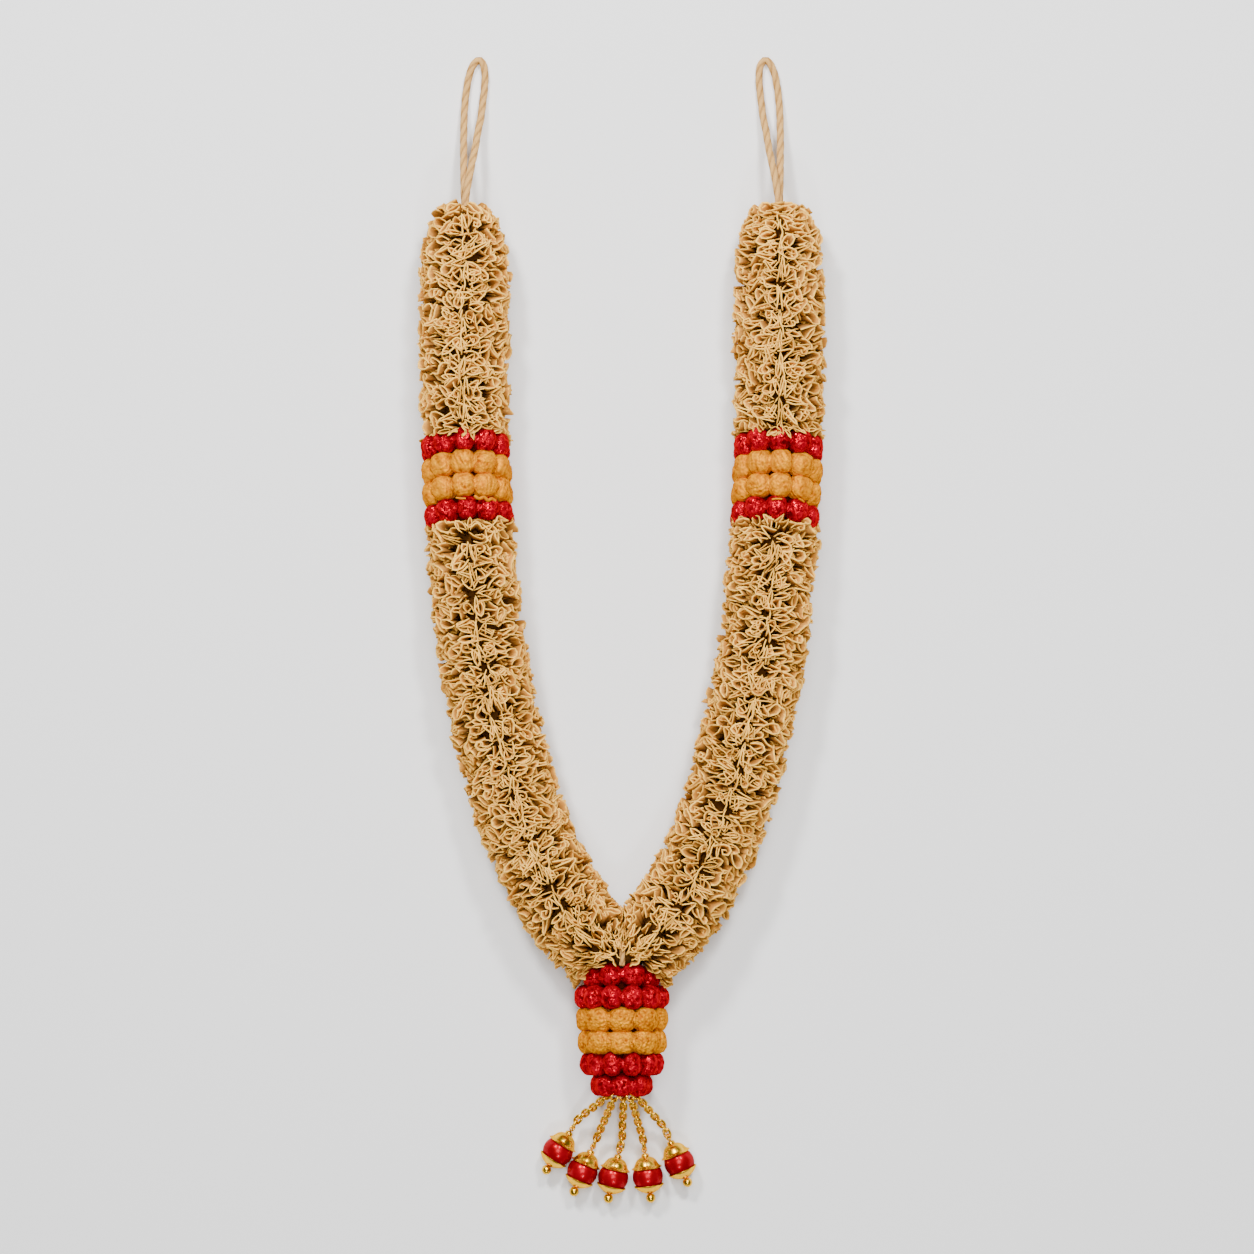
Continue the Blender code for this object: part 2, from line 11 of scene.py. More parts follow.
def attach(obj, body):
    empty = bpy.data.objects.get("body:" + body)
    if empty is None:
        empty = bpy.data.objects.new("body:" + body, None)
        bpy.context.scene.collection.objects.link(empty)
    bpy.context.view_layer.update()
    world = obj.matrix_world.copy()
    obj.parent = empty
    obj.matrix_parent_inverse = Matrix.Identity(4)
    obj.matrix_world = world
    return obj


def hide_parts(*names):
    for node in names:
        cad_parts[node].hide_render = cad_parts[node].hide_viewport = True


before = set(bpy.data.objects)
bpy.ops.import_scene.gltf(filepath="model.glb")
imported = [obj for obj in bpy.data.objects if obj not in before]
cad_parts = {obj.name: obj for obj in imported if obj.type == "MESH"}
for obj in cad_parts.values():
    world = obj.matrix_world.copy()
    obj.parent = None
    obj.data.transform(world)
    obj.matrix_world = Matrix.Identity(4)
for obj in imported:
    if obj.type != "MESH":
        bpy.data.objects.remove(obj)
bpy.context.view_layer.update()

# The camera: straight above the middle of the picture, with the loops at the
# top. The lens is long, so that the ends are seen nearly square on.
CAMERA_HEIGHT = 3.0
PICTURE_MIDDLE = (0.00333, 0.05233)
PICTURE_LENS = 127.95


def put(name, data):
    """A new piece of this data, linked into the scene."""
    piece = bpy.data.objects.new(name, data)
    bpy.context.scene.collection.objects.link(piece)
    return piece


camera_data = bpy.data.cameras.new("camera")
camera_data.lens = PICTURE_LENS
camera_data.clip_end = 20
camera = put("camera", camera_data)
camera.location = (*PICTURE_MIDDLE, CAMERA_HEIGHT)
bpy.context.scene.camera = camera

# The table: a plain pale sheet, wide enough to fill every view. The garland
# rests on it with its flat spots.
TABLE_GAP = 0.0002
TABLE_SIZE = 12.0
TABLE_COLOUR = (0.90, 0.90, 0.90, 1)


def pick(*pieces):
    """Select these pieces and no others, with the first one active."""
    bpy.ops.object.select_all(action="DESELECT")
    for piece in pieces:
        piece.select_set(True)
    if pieces:
        bpy.context.view_layer.objects.active = pieces[0]


def new_finish(name, roughness):
    """A material with its shader's roughness set."""
    finish = bpy.data.materials.new(name)
    finish.use_nodes = True
    tree = finish.node_tree
    shader = tree.nodes["Principled BSDF"]
    shader.inputs["Roughness"].default_value = roughness
    return finish, tree, shader


pick()
bpy.ops.mesh.primitive_plane_add(size=TABLE_SIZE, location=(0, 0, -TABLE_GAP))
table = bpy.context.object
table.name = "table"
table_paint, tree, shader = new_finish("table_paint", 0.9)
shader.inputs["Base Color"].default_value = TABLE_COLOUR
table.data.materials.append(table_paint)

# The light: two small soft boxes beyond the loops, a large one above, a weak one
# below the drops, and a surround that is pale at the horizon and dim above.
SOFT_BOXES = [
    ("box_left", (-0.62, 1.35, 1.65), 0.30, 44),
    ("box_right", (0.50, 1.30, 1.80), 0.30, 40),
    ("box_top", (0.0, 0.25, 2.4), 1.1, 42),
    ("box_below", (0.10, -1.2, 1.7), 0.25, 12),
]
LIT_SPOT = Vector((0, 0.05, 0))
HORIZON_LIGHT = 1.1
ZENITH_LIGHT = 0.12
HORIZON_FADE = (0.08, 0.30)

for name, place, width, power in SOFT_BOXES:
    light_data = bpy.data.lights.new(name, "AREA")
    light_data.size = width
    light_data.energy = power
    light = put(name, light_data)
    light.location = place
    light.rotation_euler = (LIT_SPOT - Vector(place)).to_track_quat("-Z", "Y").to_euler()


def add_node(tree, kind, inputs=(), **settings):
    """A shader node with its settings, and its inputs set to values or linked to sockets."""
    node = tree.nodes.new("ShaderNode" + kind)
    for key, value in settings.items():
        setattr(node, key, value)
    for key, value in inputs:
        if isinstance(value, bpy.types.NodeSocket):
            tree.links.new(value, node.inputs[key])
        else:
            node.inputs[key].default_value = value
    return node


surround = bpy.data.worlds.new("surround")
bpy.context.scene.world = surround
surround.use_nodes = True
tree = surround.node_tree
way = add_node(tree, "TexCoord")
height = add_node(tree, "SeparateXYZ", [(0, way.outputs["Generated"])])
fade = add_node(tree, "MapRange", [
    ("Value", height.outputs["Z"]), ("From Min", HORIZON_FADE[0]), ("From Max", HORIZON_FADE[1]),
    ("To Min", HORIZON_LIGHT), ("To Max", ZENITH_LIGHT)])
background = tree.nodes["Background"]
background.inputs["Color"].default_value = (1.0, 1.0, 1.0, 1)
tree.links.new(fade.outputs["Result"], background.inputs["Strength"])

# The two hanging loops: one length of smooth beige cord each, of three strands
# laid together, that comes out of the rope's top, turns and goes back in.
CORD_RADIUS = 0.0025
CORD_STRANDS = 3
CORD_GROOVE = 0.00045
CORD_LAY = 0.030
CORD_SIDES = 30
CORD_STEP = 0.0022
LOOP_ROUTE = [
    (0.1046, 0.3180, 0.02595), (0.1047, 0.3260, 0.02595), (0.1050, 0.3339, 0.02570),
    (0.1054, 0.3441, 0.02450), (0.1058, 0.3578, 0.02050), (0.1061, 0.3719, 0.01450),
    (0.1062, 0.3859, 0.00860), (0.1059, 0.3998, 0.00440), (0.1046, 0.4135, 0.00270),
    (0.1023, 0.4249, 0.00260), (0.0992, 0.4316, 0.00260), (0.0962, 0.4337, 0.00260),
    (0.0935, 0.4310, 0.00260), (0.0922, 0.4236, 0.00260), (0.0926, 0.4135, 0.00285),
    (0.0934, 0.4066, 0.00360), (0.0950, 0.3927, 0.00820), (0.0964, 0.3856, 0.01150),
    (0.0984, 0.3713, 0.01950), (0.1010, 0.3573, 0.02650), (0.1033, 0.3435, 0.03060),
    (0.1045, 0.3339, 0.03140), (0.1047, 0.3260, 0.03145), (0.1046, 0.3180, 0.03145),
]
SIDES = [(-1, "left"), (1, "right")]
TURN = 2 * math.pi
UP = Vector((0, 0, 1))


def spun(section, turn):
    """The ways out and round at a turn from the front of a section."""
    _, _, across, front = section
    return across * math.sin(turn) + front * math.cos(turn), across * math.cos(turn) - front * math.sin(turn)


class Route:
    """A smooth line through points, read by the length along it."""

    STEPS = 24
    NEAR = 0.002

    def __init__(self, points):
        knots = [Vector(point) for point in points]
        ends = [2 * knots[0] - knots[1]] + knots + [2 * knots[-1] - knots[-2]]
        self.points = [knots[0]]
        for before, first, last, after in zip(ends, ends[1:], ends[2:], ends[3:]):
            for step in range(1, self.STEPS + 1):
                self.points.append(self.between(before, first, last, after, step / self.STEPS))
        self.lengths = [0.0]
        for one, two in zip(self.points, self.points[1:]):
            self.lengths.append(self.lengths[-1] + (two - one).length)
        self.length = self.lengths[-1]

    @staticmethod
    def between(before, first, last, after, share):
        times = [0.0]
        for one, two in ((before, first), (first, last), (last, after)):
            times.append(times[-1] + math.sqrt((two - one).length))
        at = times[1] + share * (times[2] - times[1])

        def mix(one, two, start, end):
            return one.lerp(two, (at - start) / (end - start))

        low = mix(before, first, times[0], times[1])
        mid = mix(first, last, times[1], times[2])
        high = mix(last, after, times[2], times[3])
        return mix(mix(low, mid, times[0], times[2]), mix(mid, high, times[1], times[3]), times[1], times[2])

    def point(self, place):
        index = int(np.searchsorted(self.lengths, place)) - 1
        index = min(max(index, 0), len(self.lengths) - 2)
        span = self.lengths[index + 1] - self.lengths[index]
        return self.points[index].lerp(self.points[index + 1], (place - self.lengths[index]) / span)

    def section(self, place):
        """Centre, way ahead, way across and way to the front at a length."""
        ahead = (self.point(place + self.NEAR) - self.point(place - self.NEAR)).normalized()
        front = (UP - ahead * ahead.z).normalized()
        return self.point(place), ahead, front.cross(ahead), front

    def around(self, place, turn):
        """Centre, way ahead, way out and way round at a length and a turn from the front."""
        section = self.section(place)
        return (*section[:2], *spun(section, turn))

    def samples(self, step):
        count = max(2, round(self.length / step))
        return [self.point(self.length * index / count) for index in range(count + 1)]


def mirrored(points, side):
    return [(side * x, y, z) for x, y, z in points]


def link_mesh(name, bm, finish):
    """Put a finished bmesh into the scene as one piece."""
    mesh = bpy.data.meshes.new(name)
    bm.to_mesh(mesh)
    bm.free()
    mesh.materials.append(finish)
    return put(name, mesh)


def bridge_rows(bm, rows):
    """Faces between each row of corners and the next, round the rows."""
    faces = []
    for low, high in zip(rows, rows[1:]):
        for corner, other in enumerate([*range(1, len(low)), 0]):
            faces.append(bm.faces.new((low[corner], low[other], high[other], high[corner])))
    return faces


def add_ramp(tree, factor, stops):
    """A colour ramp fed by a socket."""
    node = add_node(tree, "ValToRGB", [("Fac", factor)])
    ramp = node.color_ramp
    while len(ramp.elements) < len(stops):
        ramp.elements.new(0.5)
    for element, (place, colour) in zip(ramp.elements, stops):
        element.position = place
        element.color = (*colour, 1.0)
    return node.outputs["Color"]


def cloudy(tree, scale, detail, roughness, where=None, distortion=0.0):
    """A soft random pattern, on the piece's own place unless another socket is given."""
    where = where or add_node(tree, "TexCoord").outputs["Object"]
    return add_node(tree, "TexNoise", [
        ("Vector", where), ("Scale", scale), ("Detail", detail), ("Roughness", roughness),
        ("Distortion", distortion)]).outputs["Fac"]


def blended(tree, value, factor, added):
    """The value times the factor, plus what is added."""
    return add_node(tree, "Math", [(0, value), (1, factor), (2, added)],
                    operation="MULTIPLY_ADD").outputs[0]


def dress(tree, shader, colour, relief, shine):
    """Give a shader its colour, its relief as (height, strength, depth) and its other inputs."""
    tree.links.new(colour, shader.inputs["Base Color"])
    if relief:
        bump = add_node(tree, "Bump", zip(("Height", "Strength", "Distance"), relief))
        tree.links.new(bump.outputs["Normal"], shader.inputs["Normal"])
    for name, value in shine.items():
        shader.inputs[name].default_value = value


cord_fibre, tree, shader = new_finish("cord_fibre", 0.62)
along = add_node(tree, "UVMap", uv_map="lay")
stretched = add_node(tree, "Mapping", [("Vector", along.outputs["UV"]), ("Scale", (9.0, 70.0, 1.0))])
fibres = cloudy(tree, 1.0, 6.0, 0.7, stretched.outputs["Vector"])
# The colour is darker in the grooves between the strands: painted shade, read from the depth of the grooves that
# laid_cord keeps.
groove = add_node(tree, "Attribute", attribute_name="groove")
colour = add_ramp(tree, blended(tree, groove.outputs["Fac"], -0.30, fibres), [
    (0.20, (0.24, 0.105, 0.024)), (0.46, (0.55, 0.30, 0.090)), (0.70, (0.78, 0.48, 0.17))])
dress(tree, shader, colour, (fibres, 0.35, 0.0004), {"Specular IOR Level": 0.15})


def laid_cord(name, route, thinness=1.0):
    """A cord of twisted strands along a route, with the depth of its grooves kept so that the finish paints shade
    into them.
    """
    centres = route.samples(CORD_STEP * thinness ** 3)
    lay_length = CORD_LAY * thinness
    bm = bmesh.new()
    lay = bm.loops.layers.uv.new("lay")
    depth = bm.verts.layers.float.new("groove")
    rows, places = [], []
    along_way = (centres[1] - centres[0]).normalized()
    sideways = along_way.orthogonal().normalized()
    for index, centre in enumerate(centres):
        last, following = centres[max(index - 1, 0)], centres[min(index + 1, len(centres) - 1)]
        along_way = (following - last).normalized()
        sideways = (sideways - along_way * sideways.dot(along_way)).normalized()
        upward = along_way.cross(sideways)
        place = route.length * index / (len(centres) - 1)
        row = []
        for corner in range(CORD_SIDES):
            turn = TURN * corner / CORD_SIDES
            wave = abs(math.sin(0.5 * CORD_STRANDS * (turn - TURN * place / lay_length)))
            radius = thinness * (CORD_RADIUS - CORD_GROOVE * (1 - wave) ** 2)
            vertex = bm.verts.new(centre + radius * (sideways * math.cos(turn) + upward * math.sin(turn)))
            # The depth of the grooves, kept for the painted shade in them.
            vertex[depth] = (1 - wave) ** 2
            row.append(vertex)
        rows.append(row)
        places.append(place)
    for index, face in enumerate(bridge_rows(bm, rows)):
        row, corner = divmod(index, CORD_SIDES)
        face.smooth = True
        for loop, (length, step) in zip(face.loops, ((places[row], corner), (places[row], corner + 1),
                                                     (places[row + 1], corner + 1), (places[row + 1], corner))):
            loop[lay].uv = (length / lay_length, step / CORD_SIDES - length / lay_length)
    bm.faces.new(rows[0][::-1])
    bm.faces.new(rows[-1])
    cord = link_mesh(name, bm, cord_fibre)
    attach(cord, "root")
    return cord, centres


for side, prefix in SIDES:
    route = Route(mirrored(LOOP_ROUTE, side))
    loop_cord, centres = laid_cord(prefix + "_loop_cord", route)
    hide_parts(prefix + "_loop")

# The wound balls: soft balls of gathered cloth, threaded side by side into rings
# round a core. The red ones are crinkled and glossy, the yellow ones are wound
# of fine matt fibre and press into each other.
ROPE_HEIGHT = 0.0287
ARM_ROUTE = [
    (0.1047, 0.3325, ROPE_HEIGHT), (0.1050, 0.2700, ROPE_HEIGHT), (0.1043, 0.1770, ROPE_HEIGHT),
    (0.1000, 0.0970, ROPE_HEIGHT), (0.0925, 0.0300, ROPE_HEIGHT), (0.0813, -0.0230, ROPE_HEIGHT),
    (0.0663, -0.0763, ROPE_HEIGHT), (0.0407, -0.1297, 0.0294), (0.0110, -0.1657, 0.0309),
]
BAND_START = 0.1540
BAND_LENGTH = 0.0608
BALL_SETTINGS = {
    "red": {"crush": 1.02, "length": 1.09, "square": 2.3, "dent": 0.06, "crinkle": 0.05, "crinkle_size": 3.2},
    "yellow": {"crush": 1.08, "length": 1.11, "square": 2.6, "dent": 0.07, "crinkle": 0.03, "crinkle_size": 2.4},
}
BAND_PITCH = 0.0152
BAND_RINGS = ["red", "yellow", "yellow", "red"]
BAND_OUTER = 0.0290
BAND_BALLS = 10
BAND_BALL = 0.0075
BAND_LEAN = 0.287
BAND_FUSION = {"red": 0.50, "yellow": 0.64}
BAND_WIDENING = 1.055
YELLOW_TURN = math.radians(4)
PENDANT_HEIGHT = 0.0314
# Each: colour, place, outer radius, ball radius, number of balls, how far they are fused.
PENDANT_RINGS = [
    ("red", -0.1803, 0.0254, 0.0072, 8, 0.60),
    ("red", -0.1942, 0.0317, 0.0073, 11, 0.52),
    ("yellow", -0.2089, 0.0307, 0.0073, 9, 0.76),
    ("yellow", -0.2236, 0.0299, 0.0073, 9, 0.88),
    ("red", -0.2383, 0.0279, 0.0073, 10, 0.52),
    ("red", -0.2526, 0.0211, 0.0069, 7, 0.80),
]
FACING_RINGS = (2, 3, 5)
PENDANT_LEAN = 0.077
FIRST_RING_WIDENING = 1.06
PENDANT_SADDLE = 0.0012
BAND_SEED = 400
PENDANT_SEED = 500
BALL_FOOT = 0.0008
BALL_SHIFT = (-0.0004, 0.0002)
BALL_WIDTHS = (0.96, 1.06)

red_cloth, tree, shader = new_finish("red_cloth", 0.18)
wound = add_node(tree, "Attribute", attribute_name="wound").outputs["Vector"]
creases = add_node(tree, "TexVoronoi", [("Vector", wound), ("Scale", 3.8)], feature="F1")
folds_and_shade = cloudy(tree, 2.4, 1.5, 0.55, wound, 0.8)
# The colour follows the height of the fold noise: darker where it sinks, painted shade in the fold hollows.
colour = add_ramp(tree, folds_and_shade, [
    (0.30, (0.12, 0.0, 0.001)), (0.50, (0.36, 0.0, 0.009)), (0.70, (0.54, 0.0, 0.016))])
height = blended(tree, creases.outputs["Distance"], 0.8, folds_and_shade)
dress(tree, shader, colour, (height, 0.6, 0.0013), {
    "Metallic": 0.45, "Specular IOR Level": 0.0, "Specular Tint": (1.0, 0.05, 0.07, 1)})


def yellow_finish(name, thread_relief, pit_relief, middle):
    """Amber fibre that is wound round, with more or less of threads and of small pits, and with shade painted into
    the grooves and pits.
    """
    finish, tree, shader = new_finish(name, 0.50)
    wound = add_node(tree, "Attribute", attribute_name="wound").outputs["Vector"]
    threads = add_node(tree, "TexWave", [
        ("Vector", wound), ("Scale", 0.95), ("Distortion", 7.0), ("Detail", 2.0),
        ("Detail Scale", 1.1), ("Detail Roughness", 0.5)], wave_type="BANDS", bands_direction="X")
    pits = add_node(tree, "TexVoronoi", [("Vector", wound), ("Scale", 5.5)], feature="SMOOTH_F1")
    patches = cloudy(tree, 2.0, 3.0, 0.5, wound)
    thread_height = blended(tree, threads.outputs["Fac"], thread_relief, 0.0)
    height = blended(tree, pits.outputs["Distance"], -pit_relief, thread_height)
    # Colour from the relief: darker in the grooves and pits as painted shade, lighter on the raised threads as a
    # painted highlight, with random patches.
    colour = add_ramp(tree, blended(tree, height, 0.5, patches), [
        (middle - 0.30, (0.32, 0.066, 0.0)), (middle, (0.63, 0.220, 0.0)), (middle + 0.30, (0.80, 0.33, 0.0))])
    dress(tree, shader, colour, (height, 0.9, 0.0013), {
        "Metallic": 0.3, "Specular IOR Level": 0.0, "Specular Tint": (1.0, 0.55, 0.1, 1)})
    return finish


yellow_thread = yellow_finish("yellow_thread", 0.24, 0.55, 0.44)
yellow_grain = yellow_finish("yellow_grain", 0.2, 1.1, 0.33)

pick()
bpy.ops.mesh.primitive_ico_sphere_add(subdivisions=4, radius=1.0)
plain_ball = bpy.context.object
bpy.ops.object.shade_smooth()


def join_pieces(name, pieces):
    """Linked, joined into the first one and named."""
    for piece in pieces:
        if not piece.users_collection:
            bpy.context.scene.collection.objects.link(piece)
    pick(*pieces)
    if len(pieces) > 1:
        bpy.ops.object.join()
    pieces[0].name = name
    return pieces[0]


def settle(values, floor, room):
    """Values below floor + room squeezed smoothly into what is left above the floor."""
    low = values < floor + room
    values[low] = floor + room * np.exp((values[low] - floor - room) / room)


def read_spots(mesh):
    spots = np.zeros(len(mesh.vertices) * 3, np.float32)
    mesh.vertices.foreach_get("co", spots)
    return spots.reshape(-1, 3)


def write_spots(mesh, spots):
    mesh.vertices.foreach_set("co", spots.ravel())
    mesh.update()


def wound_ball(matrix, settings, finish, rng):
    """A copy of the plain ball, pressed a little square, dented, crinkled and put in place."""
    mesh = plain_ball.data.copy()
    seat = Vector((rng.uniform(-9, 9), rng.uniform(-9, 9), rng.uniform(-9, 9)))
    roll = Matrix.Rotation(rng.uniform(0, TURN), 3, Vector((rng.gauss(0, 1), rng.gauss(0, 1), rng.gauss(0, 1))))
    wound = mesh.attributes.new("wound", "FLOAT_VECTOR", "POINT")
    square = settings["square"]
    for vertex, cell in zip(mesh.vertices, wound.data):
        way = vertex.co.normalized()
        cell.vector = roll @ way + seat
        swell = noise.noise(way * 1.6 + seat) + 0.6 * noise.noise(way * 3.6 + seat)
        crinkle = abs(noise.noise((way + seat) * settings["crinkle_size"]))
        pressed = sum(abs(part) ** square for part in way) ** (1 / square)
        vertex.co = way * (1 + settings["dent"] * swell + settings["crinkle"] * (0.5 - 2 * crinkle)) / pressed
    mesh.transform(matrix)
    mesh.materials.append(finish)
    return bpy.data.objects.new("ball", mesh)


def pendant_section(place):
    """The pendant's centre, way ahead, way across and way to the front at a place along Y."""
    return Vector((0, place, PENDANT_HEIGHT)), Vector((0, -1, 0)), Vector((1, 0, 0)), UP


def ball_ring(name, section, outer, ball, count, first, lean, saddle, fusion, colour, finish, seed):
    """Balls side by side round a section, each pressed to the room that it has, on a cord of the same cloth."""
    rng = random.Random(seed)
    centre, ahead = section[:2]
    settings = BALL_SETTINGS[colour]
    middle = outer - ball
    width = middle * math.sin(math.pi / count) * settings["crush"] * (1 + 0.25 * (fusion - 0.5))

    def lift(turn):
        return -lean * middle * math.cos(turn) - saddle * math.cos(2 * turn)

    pieces = []
    for index in range(count):
        turn = first + TURN * index / count
        out, round_way = spun(section, turn)
        spot = centre + out * (middle + rng.uniform(*BALL_SHIFT)) + ahead * lift(turn)
        round_way = (round_way + ahead * (lean * math.sin(turn))).normalized()
        matrix = Matrix((round_way, out.cross(round_way), out)).transposed().to_4x4()
        size = Matrix.Diagonal((width * rng.uniform(*BALL_WIDTHS), ball * settings["length"], ball, 1))
        pieces.append(wound_ball(Matrix.Translation(spot) @ matrix @ size, settings, finish, rng))
    pick()
    bpy.ops.mesh.primitive_torus_add(major_segments=60, minor_segments=14, major_radius=middle,
                                     minor_radius=ball * fusion)
    body = bpy.context.object
    bpy.ops.object.shade_smooth()
    wound = body.data.attributes.new("wound", "FLOAT_VECTOR", "POINT")
    for vertex, cell in zip(body.data.vertices, wound.data):
        cell.vector = vertex.co / ball
        turn = math.atan2(vertex.co.x, vertex.co.y)
        out = spun(section, turn)[0]
        vertex.co = centre + out * math.hypot(vertex.co.x, vertex.co.y) + ahead * (vertex.co.z + lift(turn))
    body.data.materials.append(finish)
    ring = join_pieces(name, pieces + [body])
    spots = read_spots(ring.data)
    settle(spots[:, 2], 0.0, BALL_FOOT)
    write_spots(ring.data, spots)
    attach(ring, "root")
    return ring


for side, prefix in SIDES:
    route = Route(mirrored(ARM_ROUTE, side))
    for index, colour in enumerate(BAND_RINGS):
        section = route.section(BAND_START + BAND_PITCH * (index + 0.5))
        first = side * YELLOW_TURN if colour == "yellow" else 0.0
        node = f"{prefix}_band_{index + 1}_{colour}"
        finish = red_cloth if colour == "red" else yellow_thread
        ring = ball_ring(node + "_balls", section, BAND_OUTER, BAND_BALL, BAND_BALLS, first, BAND_LEAN, 0.0,
                         BAND_FUSION[colour], colour, finish, BAND_SEED + 10 * side + index)
        centre, across = section[0], section[2]
        ring.data.transform(Matrix.Translation(centre) @ Matrix.Scale(BAND_WIDENING, 4, across)
                            @ Matrix.Translation(-centre))
        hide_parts(node)
for index, (colour, place, outer, ball, count, fusion) in enumerate(PENDANT_RINGS):
    first = 0.0 if index in FACING_RINGS else math.pi / count
    saddle = PENDANT_SADDLE if index == 0 else 0.0
    node = f"pendant_{index + 1}_{colour}"
    finish = red_cloth if colour == "red" else yellow_grain
    ring = ball_ring(node + "_balls", pendant_section(place), outer, ball, count, first, PENDANT_LEAN, saddle,
                     fusion, colour, finish, PENDANT_SEED + index)
    if index == 0:
        ring.data.transform(Matrix.Diagonal((FIRST_RING_WIDENING, 1, 1, 1)))
    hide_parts(node)
bpy.data.objects.remove(plain_ball)

# Loose ends of the yellow winding that stick out under each band's lower yellow
# ring: short straight ones, and a lumpy curled one on the left.
LOOSE_ENDS = {
    "left": [
        ([(-0.1097, 0.1378), (-0.1066, 0.1371), (-0.1031, 0.1372)], (0.0006, 0.0008)),
        ([(-0.0975, 0.1392), (-0.0962, 0.1379), (-0.0945, 0.1369), (-0.0927, 0.1377), (-0.0910, 0.1386),
          (-0.0897, 0.1368), (-0.0884, 0.1356), (-0.0870, 0.1372), (-0.0857, 0.1373), (-0.0842, 0.1358)],
         (0.0009, 0.0014)),
    ],
    "right": [
        ([(0.0990, 0.1366), (0.1026, 0.1373), (0.1058, 0.1368)], (0.0006, 0.0008)),
        ([(0.1168, 0.1372), (0.1190, 0.1363), (0.1205, 0.1350)], (0.0006, 0.0008)),
    ],
}
LOOSE_REACH = 0.0288

for prefix, ends in LOOSE_ENDS.items():
    tangles = []
    for points, thickness in ends:
        thread = bpy.data.curves.new("loose_end", "CURVE")
        thread.dimensions = "3D"
        thread.bevel_depth = thickness[0]
        thread.bevel_resolution = 2
        thread.use_fill_caps = True
        spline = thread.splines.new("NURBS")
        spline.points.add(len(points) - 1)
        spline.use_endpoint_u = True
        for index, (spot, (x, y)) in enumerate(zip(spline.points, points)):
            height = ROPE_HEIGHT + math.sqrt(LOOSE_REACH ** 2 - (abs(x) - ARM_ROUTE[2][0]) ** 2)
            spot.co = (x, y, height, 1.0)
            spot.radius = thickness[index % 2] / thickness[0]
        piece = put("loose_end", thread)
        pick(piece)
        bpy.ops.object.convert(target="MESH")
        bpy.ops.object.shade_smooth()
        piece.data.materials.clear()
        piece.data.materials.append(yellow_thread)
        tangles.append(piece)
    tangle = join_pieces(prefix + "_band_loose_ends", tangles)
    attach(tangle, "root")

# The ruffled ropes: hundreds of strips of vetiver root, each curled into a scoop,
# a fold or a wave, stitched on edge round a core and opened to a pointed rim. Their
# rims are painted pale as a highlight and their hollows dark brown as shade. Stars
# of them sit on the front seam.
LOWER_RUFFLES = 3
STRIP_HEIGHT = 0.0150
STRIP_THICKNESS = 0.00095
STRIP_LEVELS = (0.0, 0.50, 0.94, 1.0)
FILL_POINTS = 6
FILL_LEVELS = (0.0, 0.65, 1.0)
RIM_ROUNDING = 0.40
STRIP_POINTS = 8
STRIP_ROOT_SHARE = 0.34
STRIP_BOW = 1.35
STRIP_RISE = 0.0009
STRIP_WAVES = (700, 900)
STRIP_PITCH = 0.0076
STRIP_REACH = (0.0270, 0.0314)
STRIP_STRETCH = (0.85, 1.32)
SPIN_SPREAD = 0.65
LEAN_SPREAD = (0.16, 0.2)
FILL_PITCH = 0.0098
FILL_REACH = (0.0220, 0.0255)
SEAM_TRENCH = {STRIP_PITCH: 0.0050, FILL_PITCH: 0.0034}
SEAM_PITCH = 0.0160
SEAM_HOLLOW = 0.0022
SEAM_BARE = 0.8
SEAM_EDGES = (0.36, 0.64)
SEAM_EDGE_REACH = (0.0288, 0.0306)
SEAM_REACH = (0.0266, 0.0300)
SEAM_PETALS = 6
SEAM_PETAL_PLACE = 0.0058
SEAM_LEAN = 0.30
TOP_LEAN = 0.95
TOP_LEAN_LENGTH = 0.009
TOP_ROOM = 0.0015
TOP_KEPT = 0.15
FOOT_LEAN = 0.55
FOOT_STRETCH = 0.72
FOOT_SPIN_SPREAD = 0.25
FOOT_RIBS = 0.030
SEAM_STOP = 0.6 * FOOT_RIBS
FOOT_PACKING = 1.5
FOOT_SIDE = 0.75
JUNCTION = Vector((0, -0.1675, 0.060))
JUNCTION_RIBS = 36
JUNCTION_FAN = (-8, 86)
JUNCTION_SPREAD = (0.004, 0.016)
JUNCTION_ROOT = (0.0085, 0.0125)
JUNCTION_LEAN = 0.35
WAD_PLACE = (0.0035, -0.1635, 0.0312)
WAD_SIZE = (0.0140, 0.0130, 0.0160)
FACE_HALF_WIDTH = 0.0125
FACE_OVERLAP = 0.0015
FACE_HEIGHT = 0.012
CORE_RADIUS = 0.0160
CORE_CORNERS = 16
# The core's rise and tone: low, so that it is painted dark brown as the shade under the strips.
CORE_SHADE_LEVEL = 0.10
TOP_ROUNDING = 0.66
TOP_ROUNDING_LENGTH = 0.0125
END_STRIPS = 20
END_REACH = (0.0060, 0.0100)
END_LEAN = 0.45
END_SINK = 0.2
END_KINDS = ["fold", "scoop", "wave", "hook", "sharp_fold", "narrow_scoop"]
TOP_NOTCH = (0.0100, 0.0050)
BAND_ROOM = 0.0050
BAND_FRINGE = 0.0090
BAND_STRETCH = 0.7
BAND_SKEW = 0.0100
BAND_SKEW_LENGTH = 0.0300
BAND_SKEW_START = 0.3
LOWER_ROOM = 0.0024
BAND_SIDE_LEAN = 0.5
RING_ROOM = 0.0003
STRIP_FOOT = (0.0003, 0.0026)
ROPE_CROSSING = (-0.0016, 0.0040)
PENDANT_FACE = -0.1722
PENDANT_HOLE = 0.0185
